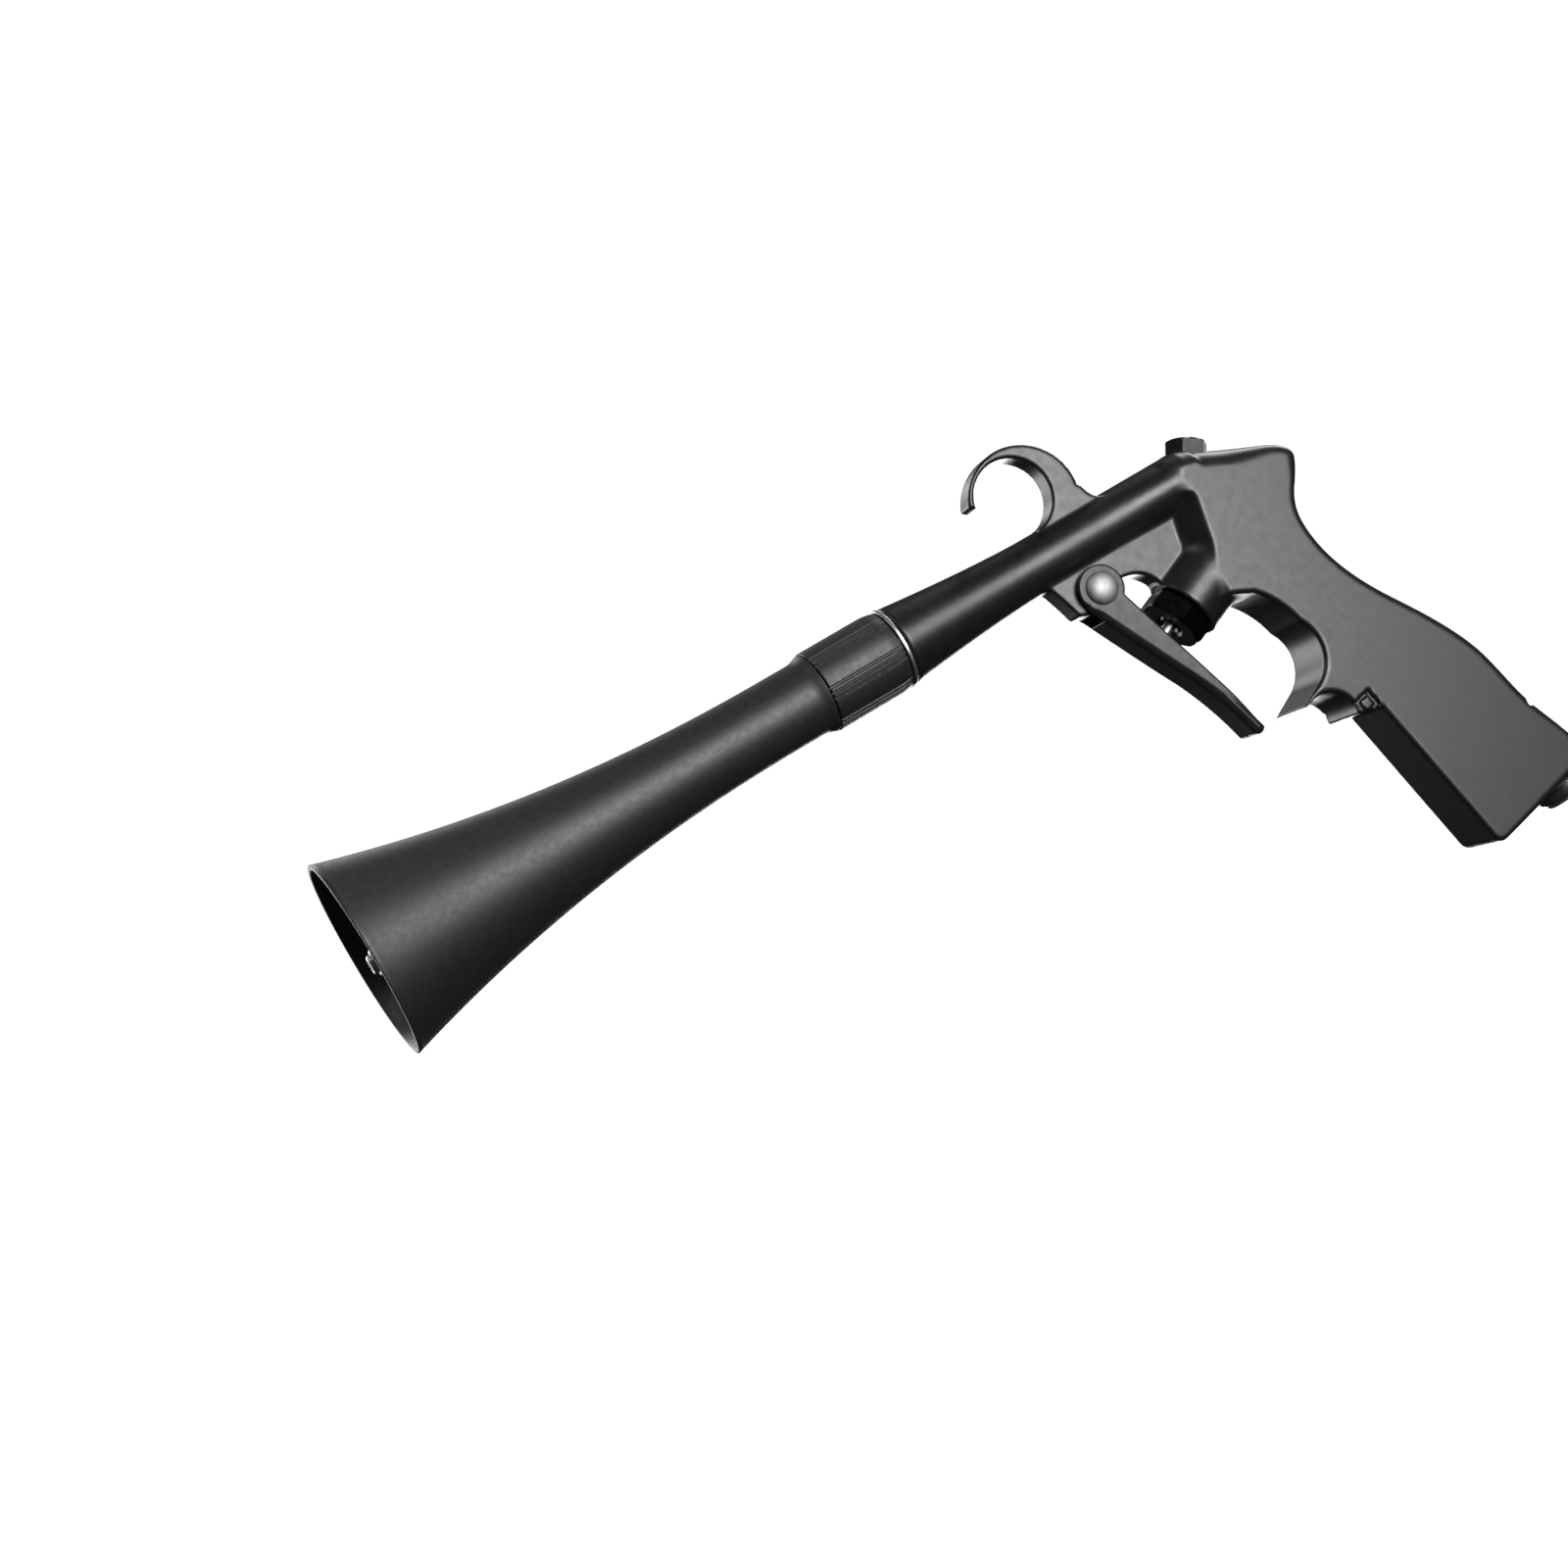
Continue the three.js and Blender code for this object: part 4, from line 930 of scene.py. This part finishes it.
def six_flats(across_flats, turn=0.0):
    """Shape function of a hexagon with flats to the sides, or turned by some degrees."""

    def flats(angle, along, radius):
        off = (np.degrees(angle) - turn + 30) % 60 - 30
        return np.minimum(radius, across_flats / 2 / np.cos(np.radians(off)))

    return flats


GLAND_FLATS = 16.0
GLAND_HEIGHT = 5.4
GLAND_TURN = 30                             # a corner faces the photographed side
SEAT_GAP = 0.3
STEM_R = 1.6
STEM_TIP = -14.2
STEM_END = 16.2
TIP_ROUND = 0.9


def make_gland_nut():
    """Hexagon with a chamfer at both ends, round the stem, its shank in the boss."""
    corner = GLAND_FLATS / math.sqrt(3)
    front, back = -GLAND_HEIGHT - SEAT_GAP, -SEAT_GAP
    head = [
        (front, 3.9),
        (front, corner - 1.3),
        (front + 0.6, corner + 0.05),
        (back - 0.5, corner + 0.05),
        (back, corner - 0.9),
    ]
    bore = STEM_R + 0.08
    profile = [(6, bore), (front + 0.6, bore), (front + 0.1, 2.6), (front + 0.6, 3.2)]
    profile += head + [(back, 5.2), (6, 5.2)]
    profile = eased(profile, [0, 0.1, 0.1, 0.1, 0.15, 0.25, 0.25, 0.2, 0.2, 0, 0.2])
    flats = six_flats(GLAND_FLATS, GLAND_TURN)
    points, faces = sweep(profile, 144, shape=flats, hub=BOSS_FRONT, tilt=BOSS_TILT)
    piece("gland_hexagon", points, faces, "gun", ["gland_nut"], "dark_steel", sharp=32)


def make_stem():
    """Straight pin with a rounded tip that rests in the trigger's channel."""
    steps = 8
    profile = [(STEM_END, 0), (STEM_END, STEM_R), (STEM_TIP + TIP_ROUND, STEM_R)]
    for i in range(1, steps + 1):
        angle = math.pi / 2 * i / steps
        profile.append((STEM_TIP + TIP_ROUND * (1 - math.sin(angle)), STEM_R * math.cos(angle)))
    points, faces = sweep(profile, 64, hub=BOSS_FRONT, tilt=BOSS_TILT)
    piece("valve_pin", points, faces, "valve", ["valve_stem"], "bright_steel", sharp=45)


SPRING_START = 18.45
SPRING_END = 26.75
COIL_R = 3.3
WIRE_R = 0.35
COIL_TURNS = 6


def on_valve_axis(run, up=0.0):
    """X and Z in the row frame of a place along the valve's axis from the boss front, and above it."""
    return (
        BOSS_FRONT[0] + run * math.cos(BOSS_TILT) - up * math.sin(BOSS_TILT) + DATUM_X,
        BOSS_FRONT[1] + run * math.sin(BOSS_TILT) + up * math.cos(BOSS_TILT) + AXIS_Z,
    )


def make_spring():
    """Open coil of round wire about the valve's axis."""
    length = SPRING_END - SPRING_START
    steps, sides = COIL_TURNS * 40, 12
    rise = math.atan2(length, 2 * math.pi * COIL_TURNS * COIL_R)
    points = []
    for i in range(steps + 1):
        turn = 2 * math.pi * COIL_TURNS * i / steps
        run = SPRING_START + length * i / steps
        for j in range(sides):
            a = 2 * math.pi * j / sides
            out, lift = COIL_R + WIRE_R * math.cos(a), WIRE_R * math.sin(a)
            skew = -lift * math.sin(rise) / COIL_R
            x, z = on_valve_axis(run + lift * math.cos(rise), out * math.sin(turn + skew))
            points.append((x, out * math.cos(turn + skew), z))
    faces = []
    for i in range(steps):
        for j in range(sides):
            k = (j + 1) % sides
            faces.append((i * sides + j, i * sides + k, (i + 1) * sides + k, (i + 1) * sides + j))
    points = np.array(points)
    quads = outward(points, faces)
    flipped = tuple(quads[0]) != tuple(faces[0])
    near = list(range(sides))
    far = [steps * sides + j for j in range(sides)]
    caps = [near, far[::-1]] if flipped else [near[::-1], far]
    made = piece("return_spring", points, [tuple(int(v) for v in q) for q in quads] + caps, "gun",
                 ["valve_spring"], "bright_steel", sharp=60)
    x, z = on_valve_axis(SPRING_END + WIRE_R)
    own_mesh(made)


make_gland_nut()
make_stem()
make_spring()


# ---------------------------------------------------------------- top plug and air inlet


def make_plug():
    """Hexagon plug with a sunk top, its skirt over a washer, and its shank in the block."""
    flats, height, washer = 10.0, 3.7, 0.5
    bottom = washer + 2 * SEAT_GAP
    top = bottom + height
    corner = flats / math.sqrt(3)
    profile = [
        (-5.5, 0),
        (-5.5, 3.3),
        (-5.2, 3.6),
        (bottom, 3.6),
        (bottom, 4.7),
        (0.2, 4.7),
        (0.2, corner + 0.05),
        (top - 0.7, corner + 0.05),
        (top, corner - 1.2),
        (top, 2.9),
        (top - 0.5, 2.5),
        (top - 0.5, 0),
    ]
    profile = eased(profile, [0, 0, 0, 0, 0, 0, 0.15, 0.3, 0.3, 0.2, 0.2, 0])
    points, faces = sweep(profile, 144, shape=six_flats(flats), hub=PLUG_SEAT, tilt=PLUG_TILT)
    piece("plug_hexagon", points, faces, "gun", ["top_plug"], "dark_steel", sharp=32)
    corners = [(SEAT_GAP, 3.7), (SEAT_GAP, 4.6), (SEAT_GAP + washer, 4.6), (SEAT_GAP + washer, 3.7)]
    points, faces = sweep(eased(corners, 0.15), 128, hub=PLUG_SEAT, tilt=PLUG_TILT)
    piece("plug_washer", points, faces, "gun", ["top_plug_washer"], "dark_steel", sharp=45)


def make_inlet():
    """Seal, black ring and threaded insert, one below the other under the grip's heel."""
    bore, outside, thread = 6.5, 7.6, 6.4
    rings = (
        ("inlet_seal", "inlet_washer", "seal_rubber",
         [(0.3, bore), (0.3, outside), (1.1, outside), (1.1, bore)], 0.2),
        ("inlet_ring", "inlet_collar", "black_plastic",
         [(1.4, bore), (1.4, outside), (3.6, outside), (4.4, outside - 0.8), (4.4, bore)], 0.14),
        ("inlet_thread", "inlet_insert", "nickel_fitting",
         [(-8.3, 4.9), (-8.3, thread), (5.5, thread), (5.5, 4.9)], 0.35),
    )
    for name, node, finish, corners, edge in rings:
        points, faces = sweep(eased(corners, edge), 144, hub=INLET, tilt=INLET_TILT)
        piece(name, points, faces, "gun", [node], finish, sharp=45)


make_plug()
make_inlet()


# ---------------------------------------------------------------- inner pieces carried over from the CAD

INNER_FINISH = {
    "nozzle_spigot": "turned_aluminium",
    "bearing_spacer": "turned_aluminium",
    "bearing_retainer": "dark_steel",
    "spigot_o_ring": "seal_rubber",
    "stem_packing": "seal_rubber",
    "poppet_seal": "seal_rubber",
    "valve_seat": "brass",
    "valve_poppet": "brass",
    "nozzle_stop_ring": "brass",
}
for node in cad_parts.values():
    if node.hide_render:
        continue
    finish = INNER_FINISH.get(node.name, "bright_steel")
    node.data.materials.clear()
    node.data.materials.append(FINISHES[finish])


# ---------------------------------------------------------------- floor, light and camera

FLOOR_Z = -0.36
FLOOR_GLOW = 0.95


def make_floor():
    """White paper below the gun, which neither lights it nor shows in its reflections."""
    mesh = bpy.data.meshes.new("floor")
    half = 1.6
    corners = [(-half, -half), (half, -half), (half, half), (-half, half)]
    mesh.from_pydata([(x, y, FLOOR_Z) for x, y in corners], [], [(0, 1, 2, 3)])
    paper = material("floor_paper", (0.86, 0.86, 0.86), 0.9, specular=0.1)
    vary_color(paper, noise(paper, 40, 3), (0.84, 0.84, 0.84), (0.88, 0.88, 0.88))
    shader = paper.node_tree.nodes["Principled BSDF"]
    shader.inputs["Emission Color"].default_value = (1, 1, 1, 1)
    shader.inputs["Emission Strength"].default_value = FLOOR_GLOW
    mesh.materials.append(paper)
    made = bpy.data.objects.new("floor", mesh)
    bpy.context.scene.collection.objects.link(made)
    made.visible_glossy = False
    made.visible_diffuse = False


def make_world(seen, filling, reflected):
    """White behind the gun and as soft fill, but dark in reflections, as the open side of a studio is."""
    world = bpy.data.worlds.new("studio")
    world.use_nodes = True
    nodes, links = world.node_tree.nodes, world.node_tree.links
    nodes.clear()
    path = nodes.new("ShaderNodeLightPath")
    output = nodes.new("ShaderNodeOutputWorld")

    def white(strength):
        background = nodes.new("ShaderNodeBackground")
        background.inputs["Color"].default_value = (1, 1, 1, 1)
        background.inputs["Strength"].default_value = strength
        return background.outputs[0]

    def unless(kind, usual, other):
        mix = nodes.new("ShaderNodeMixShader")
        links.new(path.outputs[kind], mix.inputs["Fac"])
        links.new(usual, mix.inputs[1])
        links.new(other, mix.inputs[2])
        return mix.outputs[0]

    surface = unless("Is Camera Ray", white(filling), white(seen))
    surface = unless("Is Glossy Ray", surface, white(reflected))
    links.new(surface, output.inputs["Surface"])
    bpy.context.scene.world = world


AIM = Vector((-0.05, 0.0, -0.045))          # near the gun's middle, in metres


def softbox(name, azimuth, elevation, distance, width, height, power):
    """Area light aimed at the gun. Angles in degrees, azimuth 0 at -Y and 90 at +X; metres and watts."""
    a, e = math.radians(azimuth), math.radians(elevation)
    back = Vector((math.sin(a) * math.cos(e), -math.cos(a) * math.cos(e), math.sin(e)))
    data = bpy.data.lights.new(name, "AREA")
    data.shape = "RECTANGLE"
    data.size, data.size_y = width, height
    data.energy = power
    made = bpy.data.objects.new(name, data)
    made.location = AIM + back * distance
    made.rotation_euler = (-back).to_track_quat("-Z", "Y").to_euler()
    bpy.context.scene.collection.objects.link(made)


make_floor()
make_world(seen=1.05, filling=0.12, reflected=0.03)
softbox("key", 15, 7, 1.3, 0.7, 0.68, 23.5)
softbox("top", -70, 60, 1.2, 0.6, 0.5, 2)
softbox("rear", 192, 38, 1.3, 0.8, 0.6, 6.5)
softbox("rear_left", 208, 10, 1.3, 0.6, 0.7, 6)
softbox("rear_right", 112, 34, 1.3, 0.5, 0.7, 8)
softbox("rear_low", 152, -14, 1.3, 0.7, 0.5, 10)


def make_camera():
    """Level camera on the muzzle's side, turned about its own line of sight."""
    turn, roll = math.radians(15.0), math.radians(30.76)
    distance = 629.37                       # millimetres along the line of sight to the mouth
    aside, above = -0.15926, -0.06652       # of the mouth's centre in the picture, per unit of distance
    ahead = Vector((math.sin(turn), math.cos(turn), 0))
    level = Vector((math.cos(turn), -math.sin(turn), 0))
    up = Vector((0, 0, 1))
    right = math.cos(roll) * level - math.sin(roll) * up
    top = math.sin(roll) * level + math.cos(roll) * up
    mouth = Vector((MOUTH_X, 0, AXIS_Z))
    place = (mouth - (ahead + aside * right + above * top) * distance) * MM
    data = bpy.data.cameras.new("camera")
    data.sensor_width = 36
    data.lens = 60.75
    data.clip_start = 0.05
    made = bpy.data.objects.new("camera", data)
    turned = Matrix((right, top, -ahead)).transposed()
    made.matrix_world = Matrix.Translation(place) @ turned.to_4x4()
    bpy.context.scene.collection.objects.link(made)
    bpy.context.scene.camera = made


make_camera()
bpy.context.scene.view_settings.view_transform = "Standard"
